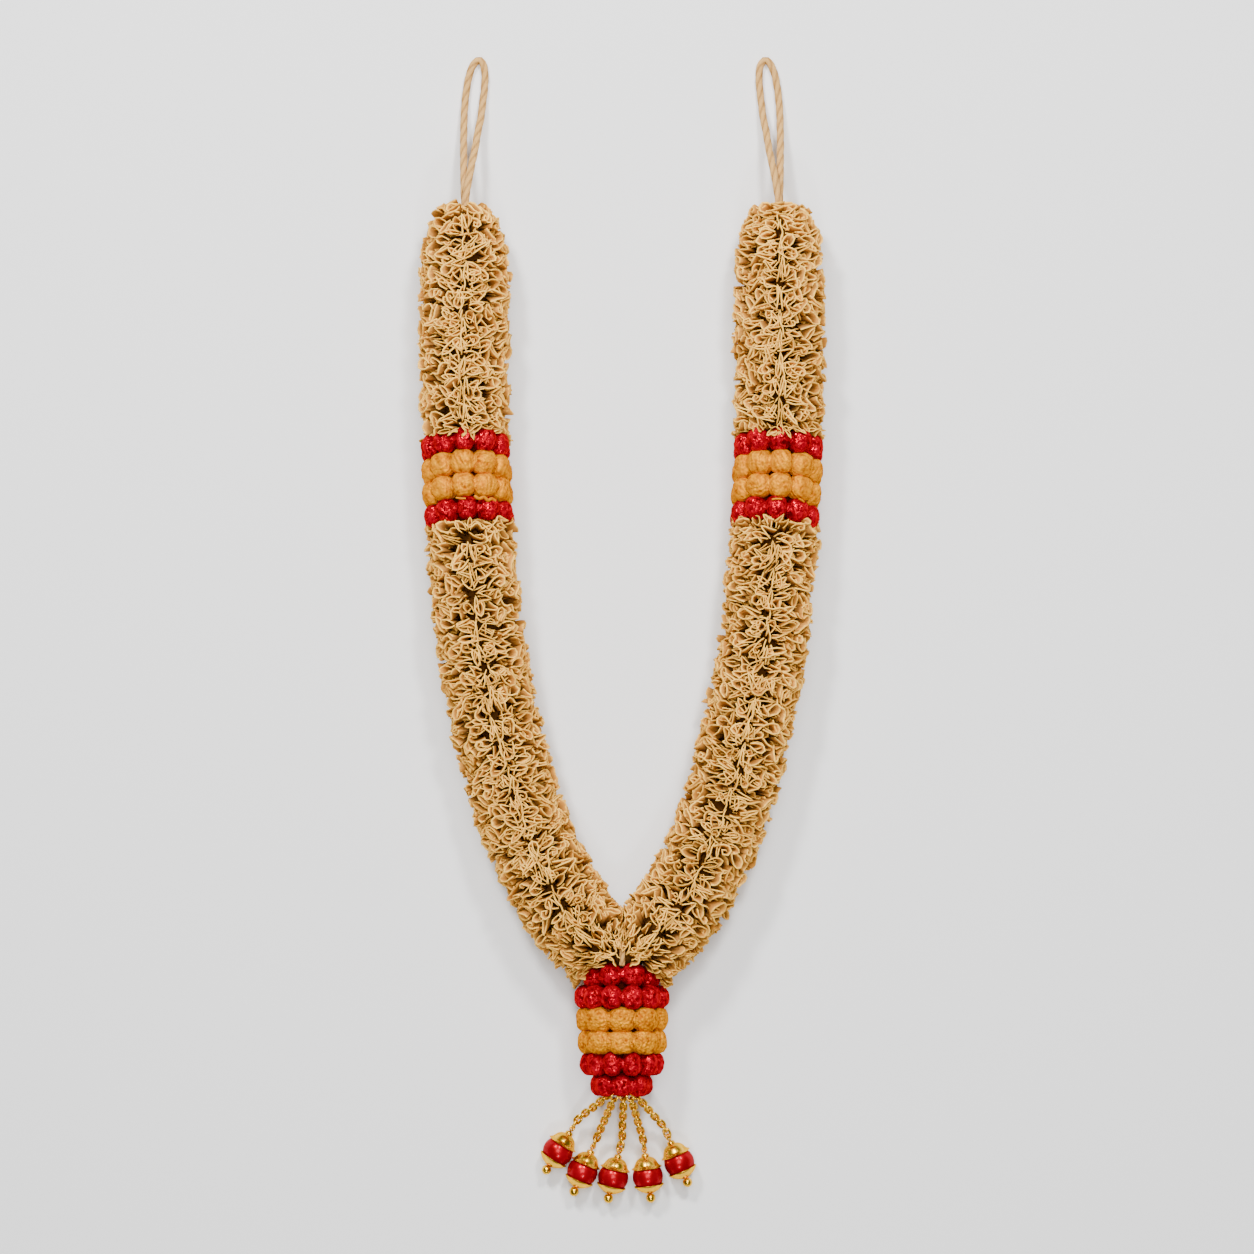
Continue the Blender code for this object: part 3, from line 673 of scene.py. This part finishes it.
# Outlines in millimetres, each with how far the rim drops from its middle to its ends.
STRIP_OUTLINES = {
    "scoop": ([(-2.4, -4.6), (-3.2, -1.2), (-2.5, 2.4), (0.0, 4.6), (2.6, 2.3), (3.1, -1.4), (2.2, -4.8)], 0.0032),
    "narrow_scoop": ([(-1.0, -5.6), (-1.8, -1.2), (-1.3, 3.2), (0.2, 5.3), (1.5, 3.0), (1.7, -1.4), (0.9, -5.4)],
                     0.0030),
    "fold": ([(-3.5, -3.8), (-2.0, 0.4), (-0.5, 4.6), (0.5, 4.4), (1.5, 0.6), (3.2, -4.0)], 0.0036),
    "sharp_fold": ([(-1.8, -5.6), (-0.9, -0.6), (-0.1, 5.4), (0.5, 5.2), (1.0, -0.4), (1.6, -5.4)], 0.0034),
    "petal": ([(-0.6, -5.5), (-2.4, -2.2), (-3.1, 1.2), (-2.2, 4.4), (0.0, 5.6), (2.4, 4.2), (3.1, 1.0), (2.0, -2.4),
               (0.9, -5.3)], 0.0016),
    "spiral": ([(-2.2, -5.8), (-2.9, -1.8), (-2.7, 2.4), (0.0, 4.6), (2.8, 2.8), (2.6, -0.1), (0.4, -1.1),
                (-0.9, 0.5), (0.2, 1.9)], 0.0014),
    "wave": ([(-1.4, -6.6), (1.4, -4.0), (1.0, -1.5), (-1.5, 0.9), (-1.4, 3.1), (1.2, 5.1), (1.4, 6.8)], 0.0022),
    "hook": ([(0.0, -6.4), (0.7, -2.8), (0.4, 1.5), (-0.3, 4.8), (-2.3, 5.6), (-3.9, 4.0), (-3.4, 2.0)], 0.0020),
    "pleat": ([(-4.2, -3.8), (-3.3, 3.3), (-2.0, 3.9), (-0.6, -2.6), (0.6, -2.8), (1.9, 3.2), (3.0, 3.6),
               (4.3, -3.6)], 0.0018),
    "blade": ([(-0.5, -6.4), (0.5, -2.4), (-0.3, 2.2), (0.5, 6.2)], 0.0030),
}
SEAM_KINDS = ["scoop", "narrow_scoop", "narrow_scoop", "sharp_fold", "petal", "fold"]
SEAM_EDGE_KINDS = ["blade", "sharp_fold"]
RIB_KINDS = ["blade", "sharp_fold", "fold", "wave", "narrow_scoop"]

vetiver, tree, shader = new_finish("vetiver", 0.70)
rise = add_node(tree, "Attribute", attribute_name="rise")
tone = add_node(tree, "Attribute", attribute_name="tone")
grain = cloudy(tree, 420.0, 4.0, 0.65)
uneven = blended(tree, grain, 1.0, -0.5)
# Colour by rise from root to rim: dark brown low down as painted shade in the hollows, pale cream on the rims as a
# painted highlight; the grain adds a small real unevenness.
depth = add_ramp(tree, blended(tree, uneven, 0.22, rise.outputs["Fac"]), [
    (0.05, (0.105, 0.042, 0.010)), (0.35, (0.17, 0.073, 0.018)), (0.70, (0.31, 0.135, 0.030)),
    (0.93, (0.58, 0.27, 0.050)), (1.0, (1.0, 0.60, 0.115))])
dye = add_ramp(tree, tone.outputs["Fac"], [
    (0.0, (0.72, 0.62, 0.50)), (0.5, (1.0, 0.95, 0.88)), (1.0, (1.10, 1.10, 1.10))])
mixed = add_node(tree, "Mix", [("Factor", 1.0), ("A", depth), ("B", dye)],
                 data_type="RGBA", blend_type="MULTIPLY")
dress(tree, shader, mixed.outputs["Result"], (grain, 0.3, 0.0003), {"Specular IOR Level": 0.0})


def curled_strip(name, outline, drop, points, levels, rng):
    """One strip: a grid stood on edge along its outline, thickened, and opened from root to rim."""
    route = Route([(x / 1000, y / 1000, 0.0) for x, y in outline])
    pick()
    bpy.ops.mesh.primitive_grid_add(x_subdivisions=points, y_subdivisions=len(levels) - 1, size=1.0)
    piece = bpy.context.object
    piece.name = name
    phases = [rng.uniform(0, TURN) for _ in range(2)]
    # The rise, 0 at the root and 1 at the rim, shapes the strip and also sets its painted shade and highlight.
    rise = piece.data.attributes.new("rise", "FLOAT", "POINT")
    for vertex, cell in zip(piece.data.vertices, rise.data):
        along = vertex.co.x + 0.5
        cell.value = levels[round((vertex.co.y + 0.5) * (len(levels) - 1))]
        spot = route.point(route.length * along)
        swell = math.sin(spot.x * STRIP_WAVES[0] + phases[0]) + math.sin(spot.y * STRIP_WAVES[1] + phases[1])
        rim = STRIP_HEIGHT - drop * abs(2 * along - 1) ** 1.5 + STRIP_RISE * 0.5 * swell
        vertex.co = (spot.x, spot.y, cell.value * rim)
    wall = piece.modifiers.new("wall", "SOLIDIFY")
    wall.thickness = STRIP_THICKNESS
    wall.offset = 0
    bpy.ops.object.modifier_apply(modifier="wall")
    corners = list(piece.data.vertices)
    rise = piece.data.attributes["rise"].data
    for one, two, cell in zip(corners[:len(corners) // 2], corners[len(corners) // 2:], rise):
        if cell.value > 0.99:
            inward = (two.co - one.co) * 0.5 * RIM_ROUNDING
            one.co += inward
            two.co -= inward
    for vertex, cell in zip(corners, rise):
        spread = STRIP_ROOT_SHARE + (1 - STRIP_ROOT_SHARE) * cell.value ** STRIP_BOW
        vertex.co.x *= spread
        vertex.co.y *= spread
    bpy.ops.object.shade_smooth()
    piece.data.materials.append(vetiver)
    return piece


strip_rng = random.Random(11)
strips = {}
for kind, outline in STRIP_OUTLINES.items():
    strips[kind] = curled_strip(kind, *outline, STRIP_POINTS, STRIP_LEVELS, strip_rng)
    strips[kind + "_fill"] = curled_strip(kind + "_fill", *outline, FILL_POINTS, FILL_LEVELS, strip_rng)


def rope_reach(place):
    """How far the strips reach at a length, as a share: less at the rounded top."""
    return 1 - TOP_ROUNDING * math.exp(-max(place, 0.0) / TOP_ROUNDING_LENGTH)


def plant_strip(kind, root, upright, round_way, spin, stretch, rng):
    """A copy of a strip with its root at a point, spun about its upright from the way round."""
    round_way = (round_way - upright * round_way.dot(upright)).normalized()
    matrix = Matrix((round_way, upright.cross(round_way), upright)).transposed().to_4x4()
    mesh = strips[kind].data.copy()
    mesh.transform(Matrix.Translation(root) @ matrix @ Matrix.Rotation(spin, 4, "Z")
                   @ Matrix.Diagonal((stretch, stretch * rng.uniform(0.9, 1.1), 1, 1)))
    tone = mesh.attributes.new("tone", "FLOAT", "POINT")
    tone.data.foreach_set("value", [rng.random()] * len(mesh.vertices))
    return bpy.data.objects.new(kind, mesh)


def clear_ring(spots, section, outer, ball, lean, saddle):
    """Push what would stand inside a ring of balls out to its surface."""
    centre, ahead, across, front = (np.array(part) for part in section)
    offset = spots - centre
    sideways, upward = offset @ across, offset @ front
    radial = np.maximum(np.hypot(sideways, upward), 1e-6)
    middle = outer - ball
    toward_front = upward / radial
    lift = -lean * middle * toward_front - saddle * (2 * toward_front ** 2 - 1)
    along, off = offset @ ahead - lift, radial - middle
    away = np.maximum(np.hypot(along, off), 1e-6)
    inside = (away < ball + RING_ROOM) & (off > -0.5 * ball)
    push = (ball + RING_ROOM) / away[inside] - 1
    share = off[inside] * push / radial[inside]
    spots[inside] += (along[inside] * push)[:, None] * ahead + share[:, None] * (
        sideways[inside][:, None] * across + upward[inside][:, None] * front)


def spin_from_seam(turn):
    """The spin that points a strip's closed end away from the nearer seam, front or back."""
    toward_right = (math.sin(turn) > 0) == (math.cos(turn) > 0)
    return (-0.25 if toward_right else 0.25) * TURN


def spin_from_junction(route, place, turn):
    """The spin and lean that make a strip point away from where the two ropes meet."""
    centre, ahead, out, round_way = route.around(place, turn)
    away = (centre + out * STRIP_REACH[0] - JUNCTION).normalized()
    spin = math.atan2(-away.dot(round_way), -away.dot(ahead))
    return spin, (FOOT_LEAN * away.dot(ahead), FOOT_LEAN * away.dot(round_way))


def hides_pendant(spots):
    """Whether a strip would lie over the front of the pendant's first ring."""
    over = (spots[:, 1] < PENDANT_FACE - FACE_OVERLAP) & (spots[:, 2] > PENDANT_HEIGHT + FACE_HEIGHT)
    return bool((over & (np.abs(spots[:, 0]) < FACE_HALF_WIDTH)).any())


def ruffle(name, side, route, start, end, seed):
    """The strips of one stretch of rope, joined to the core under them."""
    rng = random.Random(seed)
    kinds = list(STRIP_OUTLINES)
    copies = []

    def stand(kind, place, turn, spin, reach, lean, stretch):
        """Add a strip at a length and turn, spun on its root and leant along and round."""
        along = lean[0] - TOP_LEAN * math.exp(-max(place, 0) / TOP_LEAN_LENGTH)
        if start == 0.0:
            if place > BAND_START - BAND_FRINGE:
                kind, stretch = rng.choice(RIB_KINDS), BAND_STRETCH * stretch
            behind = max(0.0, BAND_SKEW_START - math.cos(turn)) / (1 + BAND_SKEW_START)
            nearness = max(0.0, 1 - (BAND_START - place) / BAND_SKEW_LENGTH)
            place = min(place, BAND_START - BAND_ROOM) + BAND_SKEW * behind * nearness
        else:
            place = max(place, BAND_START + BAND_LENGTH + LOWER_ROOM)
            along -= BAND_SIDE_LEAN * math.exp((BAND_START + BAND_LENGTH - place) / BAND_ROOM)
        if place < TOP_NOTCH[0] and math.cos(turn) > 0 and abs(math.sin(turn)) * reach < TOP_NOTCH[1]:
            return
        centre, ahead, out, round_way = route.around(place, turn)
        upright = (out + ahead * along + round_way * lean[1]).normalized()
        root = centre + out * (reach * rope_reach(place) - STRIP_HEIGHT * upright.dot(out))
        root += ahead * max(0.0, TOP_ROOM - place - STRIP_HEIGHT * upright.dot(ahead))
        copies.append(plant_strip(kind, root, upright, round_way, spin, stretch, rng))

    # Rows of strips all round, thinned out beside the seams and at the top.
    nodes = round((end - start) / SEAM_PITCH)
    seams = {seam: [start + (end - start) * (index + 0.5 + rng.uniform(-0.2, 0.2)) / nodes for index in range(nodes)]
             for seam in (0.0, 0.5 * TURN)}
    for pitch, reaches in ((STRIP_PITCH, STRIP_REACH), (FILL_PITCH, FILL_REACH)):
        rows = round((end - start) / pitch)
        for row in range(rows + 1):
            in_foot = route.length - start - (end - start) * row / rows < FOOT_RIBS
            around = round(TURN * reaches[1] / pitch * (FOOT_PACKING if in_foot else 1))
            for step in range(around):
                place = start + (end - start) * (row + rng.uniform(-0.4, 0.4)) / rows
                turn = TURN * (step + 0.5 * (row % 2) + rng.uniform(-0.4, 0.4)) / around
                seam_way = abs(math.sin(turn)) * reaches[1]
                if rng.random() > rope_reach(place) + TOP_KEPT:
                    continue
                if seam_way < SEAM_TRENCH[pitch] and rng.random() < SEAM_BARE:
                    continue
                seam = 0.0 if math.cos(turn) > 0 else 0.5 * TURN
                if any(math.hypot(place - middle, seam_way) < SEAM_HOLLOW for middle in seams[seam]):
                    continue
                kind, spin, lean = rng.choice(kinds), spin_from_seam(turn) + rng.gauss(0, SPIN_SPREAD), (0, 0)
                stretch = rng.uniform(*STRIP_STRETCH)
                if in_foot:
                    kind, stretch = rng.choice(RIB_KINDS), FOOT_STRETCH * stretch
                    if abs(math.sin(turn)) < FOOT_SIDE:
                        spin, lean = spin_from_junction(route, place, turn)
                        spin += rng.gauss(0, FOOT_SPIN_SPREAD)
                stand(kind + ("_fill" if pitch == FILL_PITCH else ""), place, turn, spin, rng.uniform(*reaches),
                      (lean[0] + rng.gauss(0, LEAN_SPREAD[0]), lean[1] + rng.gauss(0, LEAN_SPREAD[1])), stretch)
    # Stars of strips on the two seams, with thin ones between the stars.
    for seam, middles in seams.items():
        for middle in middles:
            if route.length - middle < SEAM_STOP:
                continue
            for share in SEAM_EDGES:
                stand(rng.choice(SEAM_EDGE_KINDS), middle + SEAM_PITCH * (share + rng.uniform(-0.06, 0.06)),
                      seam + rng.uniform(-0.0012, 0.0012) / STRIP_REACH[0], rng.gauss(0, 0.12),
                      rng.uniform(*SEAM_EDGE_REACH), (0, rng.gauss(0, 0.08)), rng.uniform(1.0, 1.3))
            shift = rng.uniform(-0.0015, 0.0015)
            for petal in range(SEAM_PETALS):
                way = TURN * (petal + rng.uniform(-0.3, 0.3)) / SEAM_PETALS
                reach = rng.uniform(*SEAM_REACH)
                turn = seam + (SEAM_PETAL_PLACE * math.cos(way) + shift) / reach
                stand(rng.choice(SEAM_KINDS), middle - SEAM_PETAL_PLACE * math.sin(way), turn,
                      way - 0.25 * TURN + rng.gauss(0, 0.2), reach,
                      (-SEAM_LEAN * math.sin(way), SEAM_LEAN * math.cos(way)), rng.uniform(0.75, 1.1))
    # Strips that close the rope's top round the cord.
    for index in range(END_STRIPS if start == 0.0 else 0):
        turn = TURN * (index + rng.uniform(-0.3, 0.3)) / END_STRIPS
        if math.cos(turn) > 0.5:
            continue
        centre, ahead, out, _ = route.around(0.0, turn)
        reach = END_REACH[index % 2] + rng.uniform(-0.001, 0.001)
        upright = (END_LEAN * out - ahead + ahead.cross(out) * rng.gauss(0, 0.15)).normalized()
        tip = centre + out * reach + ahead * (END_SINK * reach + rng.uniform(-0.001, 0.001))
        copies.append(plant_strip(rng.choice(END_KINDS), tip - upright * STRIP_HEIGHT, upright, out,
                                  rng.gauss(0, 0.3), rng.uniform(0.6, 0.85), rng))
    # Fine strips that fan out from where the two ropes meet.
    is_foot = end > route.length - STRIP_PITCH
    for index in range(JUNCTION_RIBS if is_foot else 0):
        front = 1 if index % 3 else -1
        angle = math.radians(rng.uniform(*JUNCTION_FAN))
        way = Vector((side * math.cos(angle), math.sin(angle), 0))
        spot = JUNCTION + way * rng.uniform(*JUNCTION_SPREAD)
        spot.z = PENDANT_HEIGHT + front * rng.uniform(*JUNCTION_ROOT)
        upright = (Vector((0, 0, front)) + JUNCTION_LEAN * way
                   + Vector((rng.gauss(0, 0.12), rng.gauss(0, 0.12), 0))).normalized()
        copies.append(plant_strip(rng.choice(RIB_KINDS), spot, upright, Vector((-way.y, way.x, 0)) * front,
                                  rng.gauss(0, 0.35), rng.uniform(0.8, 1.15), rng))
    if is_foot:
        copies = [copy for copy in copies if not hides_pendant(read_spots(copy.data))]
    # The core, with a small wad where the two ropes meet, both painted dark brown as the shade under the strips.
    rows = round((end - start) / STRIP_PITCH)
    bm = bmesh.new()
    core_rows = []
    for row in range(rows + 1):
        place = start + (end - start) * row / rows
        core_rows.append([])
        for corner in range(CORE_CORNERS):
            centre, _, out, _ = route.around(place, TURN * corner / CORE_CORNERS)
            core_rows[-1].append(bm.verts.new(centre + CORE_RADIUS * rope_reach(place) * out))
    bridge_rows(bm, core_rows)
    bm.faces.new(core_rows[0])
    bm.faces.new(core_rows[-1])
    bmesh.ops.recalc_face_normals(bm, faces=bm.faces)
    if is_foot:
        wad = Matrix.Translation((side * WAD_PLACE[0], *WAD_PLACE[1:])) @ Matrix.Diagonal((*WAD_SIZE, 1))
        bmesh.ops.create_icosphere(bm, subdivisions=3, radius=1.0, matrix=wad)
    core = link_mesh(name, bm, vetiver)
    # A low rise and tone: painted shade.
    for attribute in ("rise", "tone"):
        level = core.data.attributes.new(attribute, "FLOAT", "POINT")
        level.data.foreach_set("value", [CORE_SHADE_LEVEL] * len(core.data.vertices))
    piece = join_pieces(name, [core] + copies)
    # What would stand in the balls, the table or the other rope is pushed back.
    spots = read_spots(piece.data)
    for index in (0, len(BAND_RINGS) - 1):
        section = route.section(BAND_START + BAND_PITCH * (index + 0.5))
        clear_ring(spots, section, BAND_OUTER, BAND_BALL, BAND_LEAN, 0.0)
    if is_foot:
        place, outer, ball = PENDANT_RINGS[0][1:4]
        clear_ring(spots, pendant_section(place), outer, ball, PENDANT_LEAN, PENDANT_SADDLE)
        deep = (spots[:, 1] < PENDANT_FACE) & (np.hypot(spots[:, 0], spots[:, 2] - PENDANT_HEIGHT) < PENDANT_HOLE)
        spots[deep, 1] = PENDANT_FACE
    settle(spots[:, 2], *STRIP_FOOT)
    toward = spots[:, 0] * side
    settle(toward, *ROPE_CROSSING)
    spots[:, 0] = toward * side
    write_spots(piece.data, spots)
    return piece


for side, prefix in SIDES:
    route = Route(mirrored(ARM_ROUTE, side))
    band_end = BAND_START + BAND_LENGTH
    span = (route.length - band_end) / LOWER_RUFFLES
    stretches = [("_ruffle_upper", 0.0, BAND_START)]
    for index in range(LOWER_RUFFLES):
        stretches.append((f"_ruffle_lower_{index + 1}", band_end + span * index, band_end + span * (index + 1)))
    for index, (node, start, end) in enumerate(stretches):
        piece = ruffle(prefix + node + "_strips", side, route, start, end, 100 * (side + 2) + index)
        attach(piece, "root")
        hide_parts(prefix + node)
for shape in strips.values():
    bpy.data.objects.remove(shape)

# The strings where they come out of the two ropes: a short end of the same cord,
# seen between the strips above the pendant.
JUNCTION_CORD = [(0.0, -0.1560, 0.0500), (0.0003, -0.1640, 0.0520), (0.0, -0.1715, 0.0505)]
STRING_THINNESS = 0.8
laid_cord("junction_cord", Route(JUNCTION_CORD), STRING_THINNESS)

# The end knot: the strings wound round themselves at the foot of the pendant,
# into the flat coil that carries the chains.
COIL_PLACE = -0.2546
COIL_PITCH = 0.0038
COIL_CORNERS = 12
COIL_FIRST = 2
COIL_POINTS = 20

coil = []
for index in range(COIL_POINTS):
    turn = TURN * (index + COIL_FIRST) / COIL_CORNERS
    reach = COIL_PITCH * turn / TURN
    coil.append((reach * math.sin(turn), COIL_PLACE, PENDANT_HEIGHT + reach * math.cos(turn)))
knot, centres = laid_cord("end_knot_coil", Route(coil), STRING_THINNESS)
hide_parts("end_knot")

# The cores that the rings sit on and the strings: rolled brown root fibre and
# cord, seen only in the gaps between balls. The core fibre is painted near-black
# maroon as the shade in those gaps.
core_fibre_in_shade, tree, shader = new_finish("core_fibre_in_shade", 0.9)
strands = cloudy(tree, 500.0, 5.0, 0.7)
# Near-black maroon: painted shade of the gaps between the balls.
colour = add_ramp(tree, strands, [(0.3, (0.05, 0.004, 0.001)), (0.7, (0.14, 0.014, 0.002))])
dress(tree, shader, colour, (strands, 0.5, 0.0005), {"Specular IOR Level": 0.0})
for node in ("left_band_core", "right_band_core", "pendant_core", "left_string", "right_string"):
    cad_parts[node].material_slots[0].material = cord_fibre if "string" in node else core_fibre_in_shade

# The five chains: oval links of round gold wire, each turned across the last,
# from the end knot to the eye of a drop.
DROP_HEIGHT = 0.01005
CHAIN_TOP_Y = -0.2568
CHAIN_STAGGER = 0.0027
CHAIN_DIP = 0.0018
CHAIN_LANDING = 0.0008
# Each: where its chain starts across, the bend of the chain, the drop's apex and its turn.
DROPS = [
    (-0.0068, (-0.0123, -0.2625), (-0.0348, -0.2863), -32), (-0.0036, (-0.0064, -0.2640), (-0.0205, -0.2987), -23),
    (0.0004, (0.0010, -0.2640), (-0.0024, -0.3017), -13), (0.0040, (0.0066, -0.2640), (0.0153, -0.3009), 7.5),
    (0.0064, (0.0126, -0.2638), (0.0322, -0.2925), 23),
]
LINK_LENGTH = 0.0078
LINK_WIDTH = 0.0058
LINK_WIRE = 0.00090
LINK_PITCH = 0.0041
LINK_ROLL = math.radians(12)
LAST_LINK_END = 0.0019

gold, tree, shader = new_finish("gold", 0.20)
tarnish = cloudy(tree, 260.0, 3.0, 0.5)
colour = add_ramp(tree, tarnish, [(0.3, (0.70, 0.37, 0.020)), (0.7, (0.96, 0.56, 0.050))])
dress(tree, shader, colour, None, {"Metallic": 1.0, "Specular Tint": (1.0, 0.70, 0.25, 1)})
worn = add_node(tree, "MapRange", [
    ("Value", tarnish), ("From Min", 0.3), ("From Max", 0.7), ("To Min", 0.18), ("To Max", 0.30)])
tree.links.new(worn.outputs["Result"], shader.inputs["Roughness"])

pick()
bpy.ops.mesh.primitive_torus_add(major_segments=20, minor_segments=8, major_radius=LINK_WIDTH / 2 - LINK_WIRE,
                                 minor_radius=LINK_WIRE)
plain_link = bpy.context.object
straight = LINK_LENGTH / 2 - LINK_WIDTH / 2
for vertex in plain_link.data.vertices:
    if abs(vertex.co.x) > 1e-6:
        vertex.co.x += math.copysign(straight, vertex.co.x)
bpy.ops.object.shade_smooth()


def drop_direction(turn):
    """The way from a drop's apex to its foot."""
    angle = math.radians(turn)
    return Vector((math.sin(angle), -math.cos(angle), 0))


for number, (first, bend, apex, turn) in enumerate(DROPS, start=1):
    level = PENDANT_HEIGHT + CHAIN_STAGGER * (1 if number % 2 == 0 else -1)
    down = drop_direction(turn)
    end = Vector((*apex, DROP_HEIGHT)) - down * LAST_LINK_END
    way = Vector((*bend, level - CHAIN_DIP))
    landing = end - down * LINK_LENGTH + Vector((0, 0, CHAIN_LANDING))
    middle = way.lerp(landing, 0.5) - Vector((0, 0, CHAIN_LANDING))
    route = Route([Vector((first, CHAIN_TOP_Y, level)), way, middle, landing, end])
    count = round((route.length - LINK_LENGTH) / LINK_PITCH) + 1
    pitch = (route.length - LINK_LENGTH) / (count - 1)
    links = []
    for index in range(count):
        centre, ahead, across, front = route.section(LINK_LENGTH / 2 + pitch * index)
        roll = LINK_ROLL + (0.25 * TURN if index % 2 else 0.0)
        wide = across * math.cos(roll) + front * math.sin(roll)
        matrix = Matrix((ahead, wide, ahead.cross(wide))).transposed().to_4x4()
        mesh = plain_link.data.copy()
        mesh.transform(Matrix.Translation(centre) @ matrix)
        mesh.materials.append(gold)
        links.append(bpy.data.objects.new("link", mesh))
    links = join_pieces(f"chain_{number}_links", links)
    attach(links, "root")
    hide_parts(f"chain_{number}")
bpy.data.objects.remove(plain_link)

# The drops: a pearly red bead between a flared bell cap and a dished cap, on a
# gold head pin whose eye holds the chain and whose ball stops the lower cap.
DROP_SIDES = 40
BEAD_RADIUS = 0.0102
BEAD_PLACE = 0.0156
PIN_WIRE = 0.0007
PIN_BORE = 0.0011
PIN_BALL = 0.0032
PIN_BALL_PLACE = 0.0300
EYE_PLACE = 0.0028
EYE_RADIUS = 0.0019
EYE_WIRE = 0.0006
BEAD_STEPS = 22
BEAD_ARC = (8, 164)
PIN_STEPS = 10
PIN_ARC = (14, 160)
SHARP_EDGE = math.radians(40)
TOP_CAP = [
    (0.0000, 0.0017), (0.0005, 0.0024), (0.0013, 0.0027), (0.0020, 0.0025), (0.0025, 0.0032), (0.0030, 0.0046),
    (0.0040, 0.0060), (0.0054, 0.0071), (0.0070, 0.0079), (0.0080, 0.0084), (0.0087, 0.0091), (0.0092, 0.0100),
    (0.0096, 0.0103), (0.0098, 0.0101), (0.0096, 0.0094), (0.0088, 0.0084), (0.0078, 0.0074), (0.0066, 0.0058),
    (0.0052, PIN_BORE), (0.0000, PIN_BORE),
]
BOTTOM_CAP = [
    (0.0267, PIN_BORE), (0.0260, PIN_BORE), (0.0250, 0.0042), (0.0235, 0.0068), (0.0222, 0.0084),
    (0.0214, 0.0093), (0.0211, 0.0098), (0.0214, 0.0100), (0.0220, 0.0097), (0.0226, 0.0090), (0.0236, 0.0081),
    (0.0252, 0.0058), (0.0262, 0.0036), (0.0267, 0.0026),
]

pearl, tree, shader = new_finish("pearl_red", 0.32)
colour = add_ramp(tree, cloudy(tree, 180.0, 2.0, 0.5), [(0.3, (0.27, 0.0, 0.004)), (0.7, (0.38, 0.0, 0.009))])
dress(tree, shader, colour, None, {
    "Metallic": 0.5, "Specular IOR Level": 0.0, "Specular Tint": (1.0, 0.05, 0.1, 1), "Coat Weight": 0.16,
    "Coat Roughness": 0.15})


def turned(profile, apex, down, finish):
    """A profile of (place, radius) spun round the drop's axis."""
    across = down.cross(UP)
    bm = bmesh.new()
    rows = []
    for place, radius in profile:
        rows.append([bm.verts.new(apex + down * place + radius * (
            across * math.sin(TURN * corner / DROP_SIDES) + Vector((0, 0, math.cos(TURN * corner / DROP_SIDES)))))
            for corner in range(DROP_SIDES)])
    bridge_rows(bm, rows + rows[:1])
    bmesh.ops.recalc_face_normals(bm, faces=bm.faces)
    piece = link_mesh("turned", bm, finish)
    pick(piece)
    bpy.ops.object.shade_smooth_by_angle(angle=SHARP_EDGE)
    return piece


for number, (_, _, apex, turn) in enumerate(DROPS, start=1):
    apex = Vector((*apex, DROP_HEIGHT))
    down = drop_direction(turn)
    profile = [(BEAD_PLACE - BEAD_RADIUS * 0.99, PIN_BORE)]
    for step in range(1, BEAD_STEPS):
        angle = math.radians(BEAD_ARC[0] + BEAD_ARC[1] * step / BEAD_STEPS)
        profile.append((BEAD_PLACE - BEAD_RADIUS * math.cos(angle), BEAD_RADIUS * math.sin(angle)))
    profile.append((BEAD_PLACE + BEAD_RADIUS * 0.99, PIN_BORE))
    bead = turned(profile, apex, down, pearl)
    top_cap = turned(TOP_CAP, apex, down, gold)
    bottom_cap = turned(BOTTOM_CAP, apex, down, gold)
    profile = [(EYE_RADIUS - EYE_PLACE, 0.0001), (EYE_RADIUS - EYE_PLACE, PIN_WIRE),
               (PIN_BALL_PLACE - PIN_BALL, PIN_WIRE)]
    for step in range(1, PIN_STEPS + 1):
        angle = math.radians(PIN_ARC[0] + PIN_ARC[1] * step / PIN_STEPS)
        profile.append((PIN_BALL_PLACE - PIN_BALL * math.cos(angle), PIN_BALL * math.sin(angle)))
    wire = turned(profile, apex, down, gold)
    pick()
    bpy.ops.mesh.primitive_torus_add(major_segments=24, minor_segments=8, major_radius=EYE_RADIUS,
                                     minor_radius=EYE_WIRE)
    eye = bpy.context.object
    wide = (down.cross(UP) + UP).normalized()
    matrix = Matrix((down, wide, down.cross(wide))).transposed().to_4x4()
    eye.data.transform(Matrix.Translation(apex - down * EYE_PLACE) @ matrix)
    eye.data.materials.append(gold)
    bpy.ops.object.shade_smooth()
    pin = join_pieces("wire", [wire, eye])
    for piece, kind, ending, slot in ((bead, "bead", "pearl", "red_bead"), (top_cap, "top_cap", "bell", "gold"),
                                      (bottom_cap, "bottom_cap", "dish", "gold"), (pin, "head_pin", "wire", "gold")):
        node = f"{kind}_{number}"
        piece.name = f"{node}_{ending}"
        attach(piece, "root")
        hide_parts(node)
